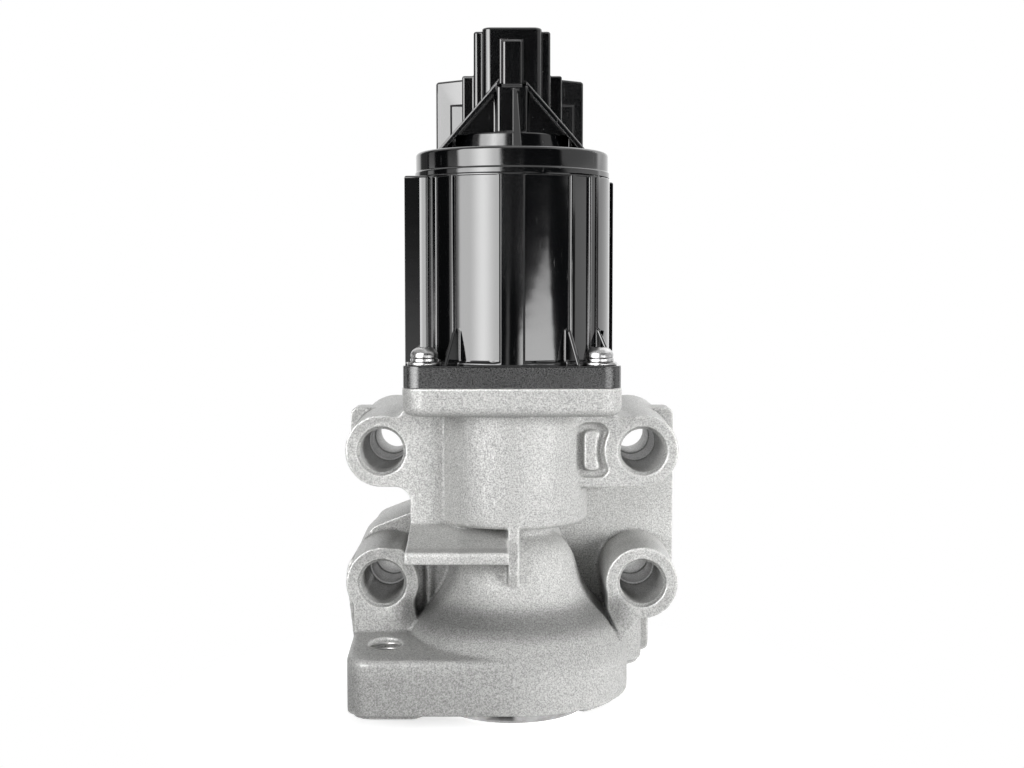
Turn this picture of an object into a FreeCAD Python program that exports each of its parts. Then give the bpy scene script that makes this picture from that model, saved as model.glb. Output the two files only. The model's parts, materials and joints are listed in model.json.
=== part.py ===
import FreeCAD, Part
import math
import os

# Electric exhaust gas recirculation valve: a die-cast valve body, a poppet valve in it,
# and a plastic-cased brushless motor on top that drives the poppet through a screw.
# Millimetres. Z is the valve axis, pointing up. Z = 0 is the lower mouth of the inlet ring.
# The four long fixing bolts run along +Y, so -Y is the front.

V = FreeCAD.Vector
UP = V(0, 0, 1)
BACK = V(0, 1, 0)

# Clearances
FIT_GAP = 0.3            # between pieces that move past each other
SEAT_GAP = 0.5           # along the axis between the closed poppet cone and its seat
TOUCH = 0.05             # between pieces that are put together by hand

# Valve travel
LIFT = 8.0               # poppet stroke, downwards
SCREW_LEAD = 4.0         # shaft travel for one turn of the rotor

# Inlet ring and poppet
RING_R = 20.6            # outside of the machined ring under the flange
RING_BODY_R = 18.6       # part of the ring that is pressed into the casting
INLET_R = 17.0
INLET_BORE_H = 8.0       # length of the plain inlet bore below the poppet
INLET_STEP = 0.5
SEAT_R = 12.8            # throat of the seat
SEAT_Z = LIFT + 5.4      # top of the seat cone; the open poppet stays inside the ring
RING_TOP_Z = SEAT_Z + 4.6
SEAT_CONE_H = 2.4
DISC_R = 14.2
DISC_EDGE_H = 2.3
STEM_R = 3.0
COLLET_GROOVE_R = 2.4
COLLET_GROOVE_H = 1.6
SEAL_R = 6.6
SEAL_H = 3.0

# Inlet flange, the lowest part of the casting
FLANGE_Z = 5.2
FLANGE_H = 14.0
FLANGE_R = 31.4
EAR_X = -42.3            # flat left side of the casting
EAR_CORNER_R = 6.5
EAR_EDGE_R = 1.6
EAR_RISE = 2.6           # the ear's top climbs this much towards the wall
PAD_H = 1.4              # machined gasket pads under the flange
PAD_R = 29.6
INLET_BOLT_R = 4.25      # M10 thread, core radius
INLET_BOLTS = ((-33.0, -18.5), (29.0, 30.0))
INLET_EAR_R = 9.0

# Bell and neck of the casting
SHOULDER_Z = 25.8
SHOULDER_R = 26.3
BELL_WAIST_R = 10.9
BELL_TOP_Z = 47.2
NECK_R = 20.5
NECK_Z = 50.8
CHAMBER_WALL = 3.5
GUIDE_BORE_R = 5.0
GUIDE_Z = 41.0
GUIDE_H = 17.0
SPRING_ROOM_R = 16.0
SPRING_ROOM_Z = GUIDE_Z + GUIDE_H

# Fixing bolts, which go through the casting from front to back
BOLT_X = 34.6
BOLT_Z = (34.9, 70.3)
BOLT_R = 4.8             # narrowest part of a cored bore, at the mounting face
BOLT_LEDGES = ((6.4, 1.2), (5.75, 26.0), (5.3, 39.0))   # radius, and depth from the lug's front end
LUG_R = 9.6
LUG_DRAFT = 1.2          # growth of a lug's radius from front to back
FRONT_Y = -10.0          # front ends of the lugs
WEB_Y = 14.0             # front of the rear web
REAR_Y = 44.0            # mounting face on the engine side
REAR_PLATE_T = 9.0
CORNER_PLATE_T = 10.0
SIDE_X = 45.3
CORNER_TOP_Z = 79.8

# Gas outlet through the mounting face
OUTLET_R = 13.5
OUTLET_Z = 49.0
OUTLET_BORE_H = 14.0
DUCT_R = 11.0
DUCT_START = (6.0, 34.0)   # Y and Z where the duct leaves the chamber
DUCT_OVERRUN = 5.0         # how far the duct runs on inside the outlet bore

# Cored pockets in the mounting face
POCKET_RIM = 4.5         # face left round the outlet
POCKET_RIB = 3.5
POCKET_FLOOR_Y = 26.0
SIDE_POCKET_FLOOR_Y = 20.0

# Cored recess beside the upper right lug
RECESS_X = (17.0, 25.5)
RECESS_Z = (63.2, 77.7)
RECESS_DEPTH = 1.8
RECESS_GROOVE_W = 1.9
RECESS_CORNER_R = 2.8
RECESS_RIM = 0.7         # wall left between the recess and the lug

# Motor, from the screw shaft outwards
SCREW_SHAFT_R = 4.0
SHAFT_R = 3.2
SHAFT_FLAT = 1.0         # depth of the flat that keeps the shaft from turning
BEARING_BORE_R = 7.4
BEARING_R = 11.0
BEARING_H = 6.0
BEARING_WALL = 1.8
BALLS = 7
BALL_R = 1.5
RACE_EDGE = 0.9          # from the balls' circle to each bearing ring
SLEEVE_STEP = 1.0
SLEEVE_R = BEARING_BORE_R + SLEEVE_STEP
MAGNET_T = 4.6
MAGNET_END = 2.0         # how much shorter the magnet is than the stator at each end
ROTOR_R = SLEEVE_R + MAGNET_T
AIR_GAP = 0.5
SHOE_T = 1.6
SHOE_ANGLE = 24          # degrees each side of a tooth
SHOE_IN_R = ROTOR_R + AIR_GAP
COIL_GAP = 0.2
COIL_DEPTH = 4.2
COIL_T = 2.4
COIL_EDGE = 0.4
BOBBIN_T = 0.6
TEETH = 6
TOOTH_W = 5.0
STATOR_YOKE_T = 3.4
STATOR_H = 26.0
YOKE_IN_R = SHOE_IN_R + SHOE_T + COIL_GAP + COIL_DEPTH + BOBBIN_T
STATOR_R = YOKE_IN_R + STATOR_YOKE_T
CASE_WALL = 2.6
CASE_R = STATOR_R + CASE_WALL

# Square flanges between casting and motor
CASE_LEDGE = 1.6         # flange left outside the round case
CASE_FLANGE_W = 2 * (CASE_R + CASE_LEDGE)
CASE_FLANGE_H = 5.6
CASE_CORNER_R = 4.5
TOP_FLANGE_Z = 80.9
TOP_FLANGE_H = 7.3
TOP_FLANGE_W = CASE_FLANGE_W + 0.6
TOP_CORNER_R = 6.0
TOP_FLANGE_EDGE = 2.4    # rounding under the flange
SCREW_EDGE = 5.4         # from a screw's middle to the case flange's edge
SCREW_PITCH = CASE_FLANGE_W - 2 * SCREW_EDGE
SCREW_R = 2.0            # M4
SCREW_HEAD_R = 3.5
SCREW_HEAD_H = 2.7
SCREW_SLOT_W = 1.1
SCREW_SLOT_L = 4.4
SCREW_SLOT_H = 1.5
SCREW_IN = 7.0           # length of screw inside the casting's flange
WASHER_R = 4.4
WASHER_T = 0.8
LOCK_WASHER_R = 3.6
LOCK_WASHER_T = 1.0

# Shelf and rib on the front of the casting
SHELF_Y = -33.0
SHELF_Z = 44.2
SHELF_T = 3.2
WALL_X = -27.0
RIB_X = (-1.0, 1.9)
RIB_Y = -20.6
RIB_Z = 33.0
PILLAR_X = (-23.7, -21.2)   # upright rib between the shelf and the flange
PILLAR_Y = -6.0

# Motor case
CASE_Z = TOP_FLANGE_Z + TOP_FLANGE_H
PANEL_DEPTH = 0.9
PANEL_FOOT = 0.7
PANEL_EDGES = ((6.8, 35.2), (38.2, 51.4))   # degrees each side of the front and of the back
GROOVE_ANGLES = (55.7, 56.9)                # narrow grooves beside the panels
GROOVE_DEPTH = 0.8
FIN_X = CASE_R + 1.8     # tips of the two fins, which stand opposite each other
FIN_Y = 12.2
FIN_T = 1.8
FIN_FOOT = 4.1           # from the round wall's side to the foot of a fin's fairing
FAIRING_W = 1.95
GUSSET_T = 1.1
GUSSET_H = 9.2
GUSSET_R = CASE_R + 5.1
GUSSET_TOP_R = CASE_R + 0.7
GUSSET_ANGLE = 33.6      # from the front and the back, beside the panels
CORNER_GUSSET_ANGLE = 58.5

# Motor, along the axis
LOWER_BEARING_Z = CASE_Z + CASE_FLANGE_H + 1.2
STATOR_Z = LOWER_BEARING_Z + BEARING_H
UPPER_BEARING_Z = STATOR_Z + STATOR_H + 5.0
CASE_TOP_Z = UPPER_BEARING_Z + BEARING_H + 4.4
BEARING_PLATE_T = 3.0
GUIDE_BUSH_R = 6.4
STEM_TOP_Z = CASE_Z - 2.6
COLLET_Z = STEM_TOP_Z - 5.0
SHAFT_TIP_Z = STEM_TOP_Z + FIT_GAP
SHAFT_TOP_Z = UPPER_BEARING_Z + BEARING_H + 1.0

# End cover with the connector
COVER_R = CASE_R - 0.4
COVER_STEP_R = CASE_R - 0.1
COVER_STEP_H = 1.3
COVER_H = 6.6
COVER_TOP_Z = CASE_TOP_Z + COVER_H
BOSS_R = 15.8
BOSS_H = 4.5
BOSS_TOP_Z = COVER_TOP_Z + BOSS_H
SOCKET_H = 32.0          # from the top of the cover to the socket's mouth
SOCKET_TOP_Z = COVER_TOP_Z + SOCKET_H
SOCKET_DEPTH = 15.0
SOCKET_FLOOR_Z = SOCKET_TOP_Z - SOCKET_DEPTH
SOCKET_W = 20.2
SOCKET_Y = (-6.0, 11.0)
SOCKET_WALL = 2.0
SOCKET_FRONT_W = 15.6
SOCKET_FRONT_Y = -9.0
LOCK_W = 5.4
LOCK_Y = -12.0
LOCK_Z = (BOSS_TOP_Z + 11.9, SOCKET_TOP_Z - 3.7)
LOCK_BOX_W = 8.2
LOCK_BOX_Y = -14.0
LOCK_CORNER_R = 1.0
KEEL_X = (0.4, 2.6)      # tapered rib in front of the lock's box
STEP_W = 27.0
STEP_Y = (5.0, 13.0)
STEP_TOP_Z = SOCKET_TOP_Z - 10.5
STAY_X = (3.7, 19.6)     # upper and lower ends of the sloping stays
STAY_TOP_Z = LOCK_Z[0] + 1.2
STAY_Y = -13.0
STAY_T = 1.9             # thickness of a stay, measured upright
APRON_T = 1.6
POST_X = (14.6, 15.6)
BACK_PLATE_X = (-21.0, 19.7)
BACK_PLATE_T = 2.6
BACK_PLATE_TOP_Z = SOCKET_TOP_Z - 10.4
BACK_PAD_INSET = (4.2, 2.8)
BACK_PAD_H = 14.4
TERMINALS = 6
TERMINAL_W = 0.64
TERMINAL_PITCH = 3.5
TERMINAL_H = 6.0
TERMINAL_ROOT = 3.0      # length that is held in the socket's floor
TERMINAL_ROWS = 2.4      # from the socket's middle to each row

# Position sensor under the cover
PLUNGER_R = 1.8
PLUNGER_TOP_Z = CASE_TOP_Z + 8.6
SENSOR_SPRING_TOP_Z = SOCKET_FLOOR_Z - 4.5
SENSOR_WIRE_R = 0.25
SENSOR_TURNS = 8

# Return spring
SPRING_R = 9.4           # to the middle of the wire
SPRING_WIRE_R = 1.0
SPRING_TURNS = 4.5
RETAINER_R = 12.4
RETAINER_HUB_R = 6.6
RETAINER_T = 1.6
RETAINER_HUB_Z = (-4.0, 4.4)   # ends of the retainer's hub, from its plate
RETAINER_Z = COLLET_Z - 2.8
COLLET_R = 5.2
COLLET_H = 7.8
COLLET_SPLIT = 0.6

shapes = {}


def cylinder(radius, z0, z1, x=0.0, y=0.0):
    return Part.makeCylinder(radius, z1 - z0, V(x, y, z0), UP)


def tube(outer, inner, z0, z1, x=0.0, y=0.0):
    return cylinder(outer, z0, z1, x, y).cut(cylinder(inner, z0 - 1, z1 + 1, x, y))


def rod_back(radius, y0, y1, x, z):
    """A cylinder along +Y."""
    return Part.makeCylinder(radius, y1 - y0, V(x, y0, z), BACK)


def block(x0, x1, y0, y1, z0, z1):
    return Part.makeBox(x1 - x0, y1 - y0, z1 - z0, V(x0, y0, z0))


def outline(points, place):
    """A closed face of straight edges; a third number in a point rounds its corner."""
    corners = []
    count = len(points)
    for i, point in enumerate(points):
        here = V(point[0], point[1], 0)
        radius = point[2] if len(point) > 2 else 0.0
        if radius == 0.0:
            corners.append((here, None, here))
            continue
        before = V(points[i - 1][0], points[i - 1][1], 0) - here
        after = V(points[(i + 1) % count][0], points[(i + 1) % count][1], 0) - here
        half = before.getAngle(after) / 2
        if math.pi / 2 - half < 1e-3:
            corners.append((here, None, here))
            continue
        reach = radius / math.tan(half)
        start = here + before.normalize() * reach
        end = here + after.normalize() * reach
        inward = (before + after).normalize()
        middle = here + inward * (radius / math.sin(half) - radius)
        corners.append((start, middle, end))
    edges = []
    for i, (start, middle, end) in enumerate(corners):
        if middle is not None:
            edges.append(Part.Arc(place(start), place(middle), place(end)).toShape())
        following = corners[(i + 1) % count][0]
        if end.distanceToPoint(following) > 1e-6:
            edges.append(Part.makeLine(place(end), place(following)))
    return Part.Face(Part.Wire(edges))


def plan(points, z0, z1):
    """An outline in X and Y, extruded upwards."""
    return outline(points, lambda p: V(p.x, p.y, z0)).extrude(V(0, 0, z1 - z0))


def front(points, y0, y1):
    """An outline in X and Z, extruded backwards."""
    return outline(points, lambda p: V(p.x, y0, p.y)).extrude(V(0, y1 - y0, 0))


def side(points, x0, x1):
    """An outline in Y and Z, extruded along X."""
    return outline(points, lambda p: V(x0, p.x, p.y)).extrude(V(x1 - x0, 0, 0))


def revolve(points):
    """A profile of radius and height, turned about Z."""
    return outline(points, lambda p: V(p.x, 0, p.y)).revolve(V(0, 0, 0), UP, 360)


def rounded_square(width, corner, z0, z1):
    h = width / 2
    return plan([(-h, -h, corner), (h, -h, corner), (h, h, corner), (-h, h, corner)], z0, z1)


def fused(pieces):
    whole = pieces[0].multiFuse(pieces[1:])
    return whole.removeSplitter()


def without(shape, tools):
    return shape.cut(Part.makeCompound(tools)) if tools else shape


def rounded(shape, radius, chosen):
    """Fillets the edges for which chosen(edge) is true."""
    edges = [edge for edge in shape.Edges if chosen(edge)]
    return shape.makeFillet(radius, edges)


def flat_at(z):
    """Picks edges that lie at one height."""
    def chosen(edge):
        box = edge.BoundBox
        return abs(box.ZMin - z) < 1e-4 and abs(box.ZMax - z) < 1e-4
    return chosen


def around(shape, count, first=0.0):
    """Copies of a shape turned about Z."""
    copies = []
    for i in range(count):
        turned = shape.copy()
        turned.rotate(V(0, 0, 0), UP, first + 360.0 / count * i)
        copies.append(turned)
    return copies


def screw_places():
    h = SCREW_PITCH / 2
    return [(-h, -h), (h, -h), (h, h), (-h, h)]


def bolt_places():
    return [(x, z) for x in (-BOLT_X, BOLT_X) for z in BOLT_Z]


def helix_wire(radius, wire_r, z0, z1, turns):
    """A coil spring with its ends between z0 and z1."""
    rise = z1 - z0 - 2 * wire_r
    path = Part.makeHelix(rise / turns, rise, radius)
    section = Part.Wire(Part.makeCircle(wire_r, V(radius, 0, 0), V(0, 1, 0)))
    coil = Part.Wire(path).makePipeShell([section], True, True)
    coil.translate(V(0, 0, z0 + wire_r))
    return coil


def bell_profile():
    """Outer line of the bell from the shoulder up to the waist, as radius and height."""
    return [V(SHOULDER_R, 0, SHOULDER_Z), V(23.4, 0, 28.3), V(20.7, 0, 31.4), V(18.5, 0, 35.5),
            V(17.0, 0, 40.2), V(14.4, 0, 44.6), V(BELL_WAIST_R, 0, BELL_TOP_Z)]


def turned_bell():
    """Inlet flange, sloping shoulder, bell and waist as one turned form."""
    top = FLANGE_Z + FLANGE_H
    curve = Part.BSplineCurve()
    curve.interpolate(bell_profile())
    low = V(FLANGE_R, 0, FLANGE_Z)
    rim = V(FLANGE_R, 0, top - 2.6)
    rim_mid = V(FLANGE_R - 0.5, 0, top - 0.4)
    rim_top = V(FLANGE_R - 1.6, 0, top + 1.2)
    waist_top = V(BELL_WAIST_R, 0, NECK_Z + 1)
    edges = [Part.makeLine(V(0, 0, FLANGE_Z), low), Part.makeLine(low, rim),
             Part.Arc(rim, rim_mid, rim_top).toShape(),
             Part.makeLine(rim_top, V(SHOULDER_R, 0, SHOULDER_Z)), curve.toShape(),
             Part.makeLine(V(BELL_WAIST_R, 0, BELL_TOP_Z), waist_top),
             Part.makeLine(waist_top, V(0, 0, NECK_Z + 1)),
             Part.makeLine(V(0, 0, NECK_Z + 1), V(0, 0, FLANGE_Z))]
    return Part.Face(Part.Wire(edges)).revolve(V(0, 0, 0), UP, 360)


def inlet_ear():
    """Left ear of the inlet flange, whose top climbs towards the wall behind it."""
    top = FLANGE_Z + FLANGE_H
    ear = plan([(0, -FLANGE_R), (0, WEB_Y), (EAR_X, WEB_Y), (EAR_X, -FLANGE_R, EAR_CORNER_R)],
               FLANGE_Z, top + EAR_RISE)
    slope = side([(-FLANGE_R - 5, top - 0.4), (FRONT_Y, top + EAR_RISE), (FRONT_Y, top + 20),
                  (-FLANGE_R - 5, top + 20)], EAR_X - 1, 1)
    ear = ear.cut(slope)

    def front_top(edge):
        box = edge.BoundBox
        return (box.YMax < FRONT_Y - EAR_CORNER_R and box.XMin < -1
                and box.ZMax > top - 1 and box.ZLength < 2)

    return rounded(ear, EAR_EDGE_R, front_top)


def lug(x, z):
    """One long bolt lug, a little wider at the back."""
    return Part.makeCone(LUG_R, LUG_R + LUG_DRAFT, REAR_Y - FRONT_Y, V(x, FRONT_Y, z), BACK)


def front_walls():
    """Flat walls that join the front ends of three of the lugs to the neck and the flange."""
    z_low, z_high = BOLT_Z
    top = z_high + LUG_R - 0.4
    low = z_high - LUG_R
    under = TOP_FLANGE_Z + 1
    shelf_top = NECK_Z - 2.2
    left = front([(-BOLT_X, top), (-BOLT_X, low), (WALL_X, low, 4.0), (WALL_X, shelf_top), (0, shelf_top),
                  (0, under), (WALL_X - 1, under), (WALL_X - 3, top, 1.5)], FRONT_Y, WEB_Y)
    right = front([(BOLT_X, top), (NECK_R + 7, top, 1.5), (NECK_R + 5, under), (0, under), (0, low),
                   (BOLT_X, low)], FRONT_Y, WEB_Y)
    inner = -BOLT_X + LUG_R
    lug_top = z_low + LUG_R - 0.2
    lower = front([(EAR_X, FLANGE_Z), (EAR_X, z_low), (-BOLT_X, z_low), (-BOLT_X, lug_top),
                   (-BOLT_X + 6, lug_top, 3.0), (inner - 0.4, z_low, 3.0), (inner - 1.2, z_low - 6, 2.0),
                   (inner + 1, FLANGE_Z + FLANGE_H)], FRONT_Y, WEB_Y)
    cusp = front([(SHOULDER_R - 1, SHOULDER_Z + 2), (FLANGE_R - 2, FLANGE_Z + FLANGE_H),
                  (BOLT_X, z_low - LUG_R + 1), (BOLT_X - LUG_R + 0.5, z_low)], FRONT_Y, WEB_Y)
    x0, x1 = PILLAR_X
    pillar = plan([(x0, PILLAR_Y, 1.2), (x1, PILLAR_Y, 1.2), (x1, WEB_Y + 1), (x0, WEB_Y + 1)],
                  FLANGE_Z + FLANGE_H, SHELF_Z + 1)
    return [left, right, lower, cusp, pillar]


def rear_body():
    """Thick web with the gas duct, the upper corner plates and the plate at the mounting face."""
    z_low, z_high = BOLT_Z
    lobe = [(WALL_X + 2, z_high - LUG_R, 3.0), (WALL_X + 2, 51.6, 4.0), (-39.4, 46.0, 5.0),
            (-47.2, 34.0, 8.0), (-44.0, FLANGE_Z, 3.0)]
    web = front([(-BOLT_X, z_high - LUG_R)] + lobe
                + [(40.6, FLANGE_Z, 2.0), (40.6, 22.0), (SIDE_X - 1, 31.0, 3.0), (SIDE_X - 1, z_high),
                   (BOLT_X, z_high + LUG_R), (-BOLT_X, z_high + LUG_R)], REAR_Y - REAR_PLATE_T, REAR_Y)
    middle = front(lobe + [(30.0, FLANGE_Z, 3.0), (30.0, 24.0), (SIDE_X - 4, 24.0, 3.0), (SIDE_X, z_low),
                           (SIDE_X, 60.0), (24.0, TOP_FLANGE_Z), (WALL_X + 2, TOP_FLANGE_Z)],
                   WEB_Y, REAR_Y - REAR_PLATE_T + 1)
    corners = front([(-SIDE_X, z_high), (-SIDE_X, CORNER_TOP_Z, 2.0), (SIDE_X, CORNER_TOP_Z, 2.0),
                     (SIDE_X, 40.0), (22.0, 40.0), (22.0, 60.0), (-BOLT_X, 60.0)],
                    WEB_Y, WEB_Y + CORNER_PLATE_T)
    return [web, middle, corners]


def rear_pockets():
    """Cored pockets in the mounting face, between the outlet's rim and the bolt lugs."""
    z_low, z_high = BOLT_Z
    lug_out = LUG_R + LUG_DRAFT
    end = REAR_Y + 1

    def pocket(x0, x1, z0, z1, floor_y):
        return front([(x0, z0, 2.0), (x1, z0, 2.0), (x1, z1, 2.0), (x0, z1, 2.0)], floor_y, end)

    inner = BOLT_X - lug_out
    low_top = z_low - lug_out
    floor_z = FLANGE_Z + POCKET_RIB + 1
    rim = OUTLET_R + POCKET_RIM
    gap = lug_out + 1.5
    pockets = [pocket(-inner, inner, z_high - 4, TOP_FLANGE_Z - POCKET_RIB, POCKET_FLOOR_Y),
               pocket(-BOLT_X - 5, -inner, floor_z, low_top, SIDE_POCKET_FLOOR_Y),
               pocket(-inner + POCKET_RIB, OUTLET_R + 2, floor_z, low_top + 4, POCKET_FLOOR_Y),
               pocket(rim, SIDE_X - 5, z_low + gap, z_high - gap, SIDE_POCKET_FLOOR_Y)]
    start = SIDE_POCKET_FLOOR_Y - 1
    kept = [rod_back(rim, start, end + 1, 0, OUTLET_Z)]
    kept += [rod_back(lug_out, start, end + 1, x, z) for x, z in bolt_places()]
    return [without(one, kept) for one in pockets]


def duct_form(radius):
    """The rising duct from the chamber to the outlet, with a round start."""
    start = V(0, DUCT_START[0], DUCT_START[1])
    way = V(0, REAR_Y - OUTLET_BORE_H, OUTLET_Z) - start
    duct = Part.makeCylinder(radius, way.Length + DUCT_OVERRUN, start, way)
    return duct.fuse(Part.makeSphere(radius, start))


def shelf_and_rib():
    """Flat shelf under the front wall, and the upright rib that closes its right end."""
    shelf = block(WALL_X, RIB_X[0] + 0.2, SHELF_Y, 0, SHELF_Z, SHELF_Z + SHELF_T)

    def front_edge(edge):
        return abs(edge.BoundBox.YMax - SHELF_Y) < 1e-4 and edge.BoundBox.XLength > 1

    shelf = rounded(shelf, 0.8, front_edge)
    top = SHELF_Z + SHELF_T
    brace = side([(SHELF_Y + 6, top), (FRONT_Y, top), (FRONT_Y, NECK_Z)], WALL_X, RIB_X[0])
    rib_top = NECK_Z + 2
    rib = side([(RIB_Y, rib_top), (RIB_Y, RIB_Z + 6, 3.0), (RIB_Y + 3.5, RIB_Z), (0, RIB_Z), (0, rib_top)],
               RIB_X[0], RIB_X[1])
    return [shelf, brace, rib]


def gasket_pads():
    """Machined pads under the inlet flange: one under the ear, one round the back."""
    z0 = FLANGE_Z - PAD_H
    z1 = FLANGE_Z
    ear = plan([(-40.8, -29.4, 5.0), (-24.5, -29.4, 2.0), (-17.5, -20.5, 2.0), (-24.0, -6.0, 2.0),
                (-40.8, -6.0, 3.0)], z0, z1)
    rear = tube(PAD_R, RING_R + TOUCH, z0, z1)
    front_side = plan([(-60, -60), (60, -60), (60, -46), (17.3, -22.2), (0, 0), (-30, -12), (-60, -12)],
                      z0 - 1, z1 + 1)
    corner = cylinder(INLET_EAR_R - 1, z0, z1, *INLET_BOLTS[1])
    return [ear, rear.cut(front_side), corner]


def casting_hollows():
    """Gas way, guide bore, spring room and threaded holes."""
    hollows = [cylinder(RING_BODY_R, FLANGE_Z - 3, RING_TOP_Z),
               cylinder(GUIDE_BORE_R, GUIDE_Z - 4, SPRING_ROOM_Z + 1),
               cylinder(SPRING_ROOM_R, SPRING_ROOM_Z, CASE_Z + 1)]
    low = RING_TOP_Z - 1
    chamber = revolve([(0, low), (SEAT_R + SEAT_CONE_H, low), (SHOULDER_R - CHAMBER_WALL - 5, 25.0, 3.0),
                       (16.0, 33.0, 3.0), (13.0, 39.0, 3.0), (GUIDE_BORE_R + 1.5, GUIDE_Z), (0, GUIDE_Z)])
    outlet = rod_back(OUTLET_R, REAR_Y - OUTLET_BORE_H, REAR_Y + 1, 0, OUTLET_Z)
    hollows += [chamber, duct_form(DUCT_R), outlet]
    for x, y in screw_places():
        hollows.append(cylinder(SCREW_R, TOP_FLANGE_Z - 1, CASE_Z + 1, x, y))
    for x, y in INLET_BOLTS:
        hollows.append(cylinder(INLET_BOLT_R, FLANGE_Z - PAD_H - 1, FLANGE_Z + FLANGE_H + 8, x, y))
    return hollows


def bolt_bores():
    """Cored bores for the fixing bolts, which narrow in ledges towards the mounting face."""
    bores = []
    for x, z in bolt_places():
        bores.append(rod_back(BOLT_R, FRONT_Y - 1, REAR_Y + 1, x, z))
        for radius, depth in BOLT_LEDGES:
            bores.append(rod_back(radius, FRONT_Y - 1, FRONT_Y + depth, x, z))
    return bores


def recess_form(inset, y0, y1):
    """The recess's outline drawn in by an inset; its right side follows the lug."""
    x0, x1 = RECESS_X[0] + inset, RECESS_X[1] - inset
    z0, z1 = RECESS_Z[0] + inset, RECESS_Z[1] - inset
    corner = RECESS_CORNER_R - inset / 2
    form = front([(x0, z0, corner), (x1, z0, corner), (x1, z1, corner), (x0, z1, corner)], y0, y1)
    return form.cut(rod_back(LUG_R + RECESS_RIM + inset, y0 - 1, y1 + 1, BOLT_X, BOLT_Z[1]))


def side_recess():
    """Cored groove beside the upper right lug, round a raised island."""
    floor = FRONT_Y + RECESS_DEPTH
    return recess_form(0, FRONT_Y - 2, floor).cut(recess_form(RECESS_GROOVE_W, FRONT_Y - 3, floor + 1))


def make_casting():
    square = rounded_square(TOP_FLANGE_W, TOP_CORNER_R, TOP_FLANGE_Z, CASE_Z)
    square = rounded(square, TOP_FLANGE_EDGE, flat_at(TOP_FLANGE_Z))
    neck = rounded(cylinder(NECK_R, NECK_Z, TOP_FLANGE_Z + 1), 1.5, flat_at(NECK_Z))
    ear_two = cylinder(INLET_EAR_R, FLANGE_Z, SHOULDER_Z, *INLET_BOLTS[1])
    pieces = [turned_bell(), inlet_ear(), ear_two, neck, square] + [lug(x, z) for x, z in bolt_places()]
    pieces += front_walls() + rear_body() + shelf_and_rib() + gasket_pads()
    pieces.append(duct_form(DUCT_R + CHAMBER_WALL))
    return without(fused(pieces), casting_hollows() + bolt_bores() + [side_recess()] + rear_pockets())


def make_inlet_ring():
    cone_low = SEAT_Z - SEAT_CONE_H
    return revolve([(INLET_R, 0), (RING_R - 0.8, 0), (RING_R, 0.8), (RING_R, FLANGE_Z),
                    (RING_BODY_R, FLANGE_Z), (RING_BODY_R, RING_TOP_Z - 1), (SEAT_R, RING_TOP_Z - 1),
                    (SEAT_R, SEAT_Z), (SEAT_R + SEAT_CONE_H, cone_low), (INLET_R - INLET_STEP, cone_low),
                    (INLET_R - INLET_STEP, INLET_BORE_H), (INLET_R, INLET_BORE_H)])


def make_disc():
    """Poppet disc: a cone that closes on the seat, with a curved back towards the stem."""
    cone_sum = SEAT_R + SEAT_Z - SEAT_GAP
    edge_z = cone_sum - DISC_R
    low = edge_z - DISC_EDGE_H
    top_r = SEAT_R - 0.8
    back_z = cone_sum - top_r
    return revolve([(STEM_R, low), (DISC_R - 2, low), (DISC_R, low + 0.8), (DISC_R, edge_z), (top_r, back_z),
                    (8.0, back_z + 0.2, 4.0), (STEM_R + 1.2, back_z + 5), (STEM_R, back_z + 5)])


def disc_low_z():
    return SEAT_R + SEAT_Z - SEAT_GAP - DISC_R - DISC_EDGE_H


def make_stem():
    stem = cylinder(STEM_R, disc_low_z(), STEM_TOP_Z)
    groove = tube(STEM_R + 1, COLLET_GROOVE_R, COLLET_Z, COLLET_Z + COLLET_GROOVE_H)
    return stem.cut(groove)


def make_retainer():
    """Pressed cup that carries the top of the return spring and is held by the collets."""
    z = RETAINER_Z
    low = z + RETAINER_HUB_Z[0]
    high = z + RETAINER_HUB_Z[1]
    return revolve([(COLLET_R, low), (RETAINER_HUB_R, low), (RETAINER_HUB_R, z, 0.8), (RETAINER_R, z),
                    (RETAINER_R, z + RETAINER_T), (RETAINER_HUB_R, z + RETAINER_T), (RETAINER_HUB_R, high),
                    (COLLET_R, high)])


def make_collets():
    """Two half cones round the stem's groove."""
    z0 = RETAINER_Z + RETAINER_HUB_Z[0] + 0.2
    z1 = z0 + COLLET_H
    cone = tube(COLLET_R, STEM_R, z0, z1)
    cone = cone.fuse(tube(STEM_R, COLLET_GROOVE_R, COLLET_Z, COLLET_Z + COLLET_GROOVE_H)).removeSplitter()
    reach = COLLET_R + 1
    return cone.cut(block(-reach, reach, -COLLET_SPLIT / 2, COLLET_SPLIT / 2, z0 - 1, z1 + 1))


def ring_segment(r0, r1, start, end, z0, z1):
    """Part of a tube between two angles in degrees."""
    slice_ = Part.makeCylinder(r1, z1 - z0, V(0, 0, z0), UP, end - start)
    slice_.rotate(V(0, 0, 0), UP, start)
    return slice_.cut(cylinder(r0, z0 - 1, z1 + 1))


def case_panels():
    """Shallow panels and narrow grooves between the upright ribs, at the front and at the back."""
    low = CASE_Z + CASE_FLANGE_H + PANEL_FOOT
    high = CASE_TOP_Z - 0.6
    cuts = [(start, end, PANEL_DEPTH) for start, end in PANEL_EDGES] + [GROOVE_ANGLES + (GROOVE_DEPTH,)]
    panels = []
    for start, end, depth in cuts:
        for centre in (90, 270):
            for a0, a1 in ((centre + start, centre + end), (centre - end, centre - start)):
                panels.append(ring_segment(CASE_R - depth, CASE_R + 2, a0, a1, low, high))
    return panels


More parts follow.
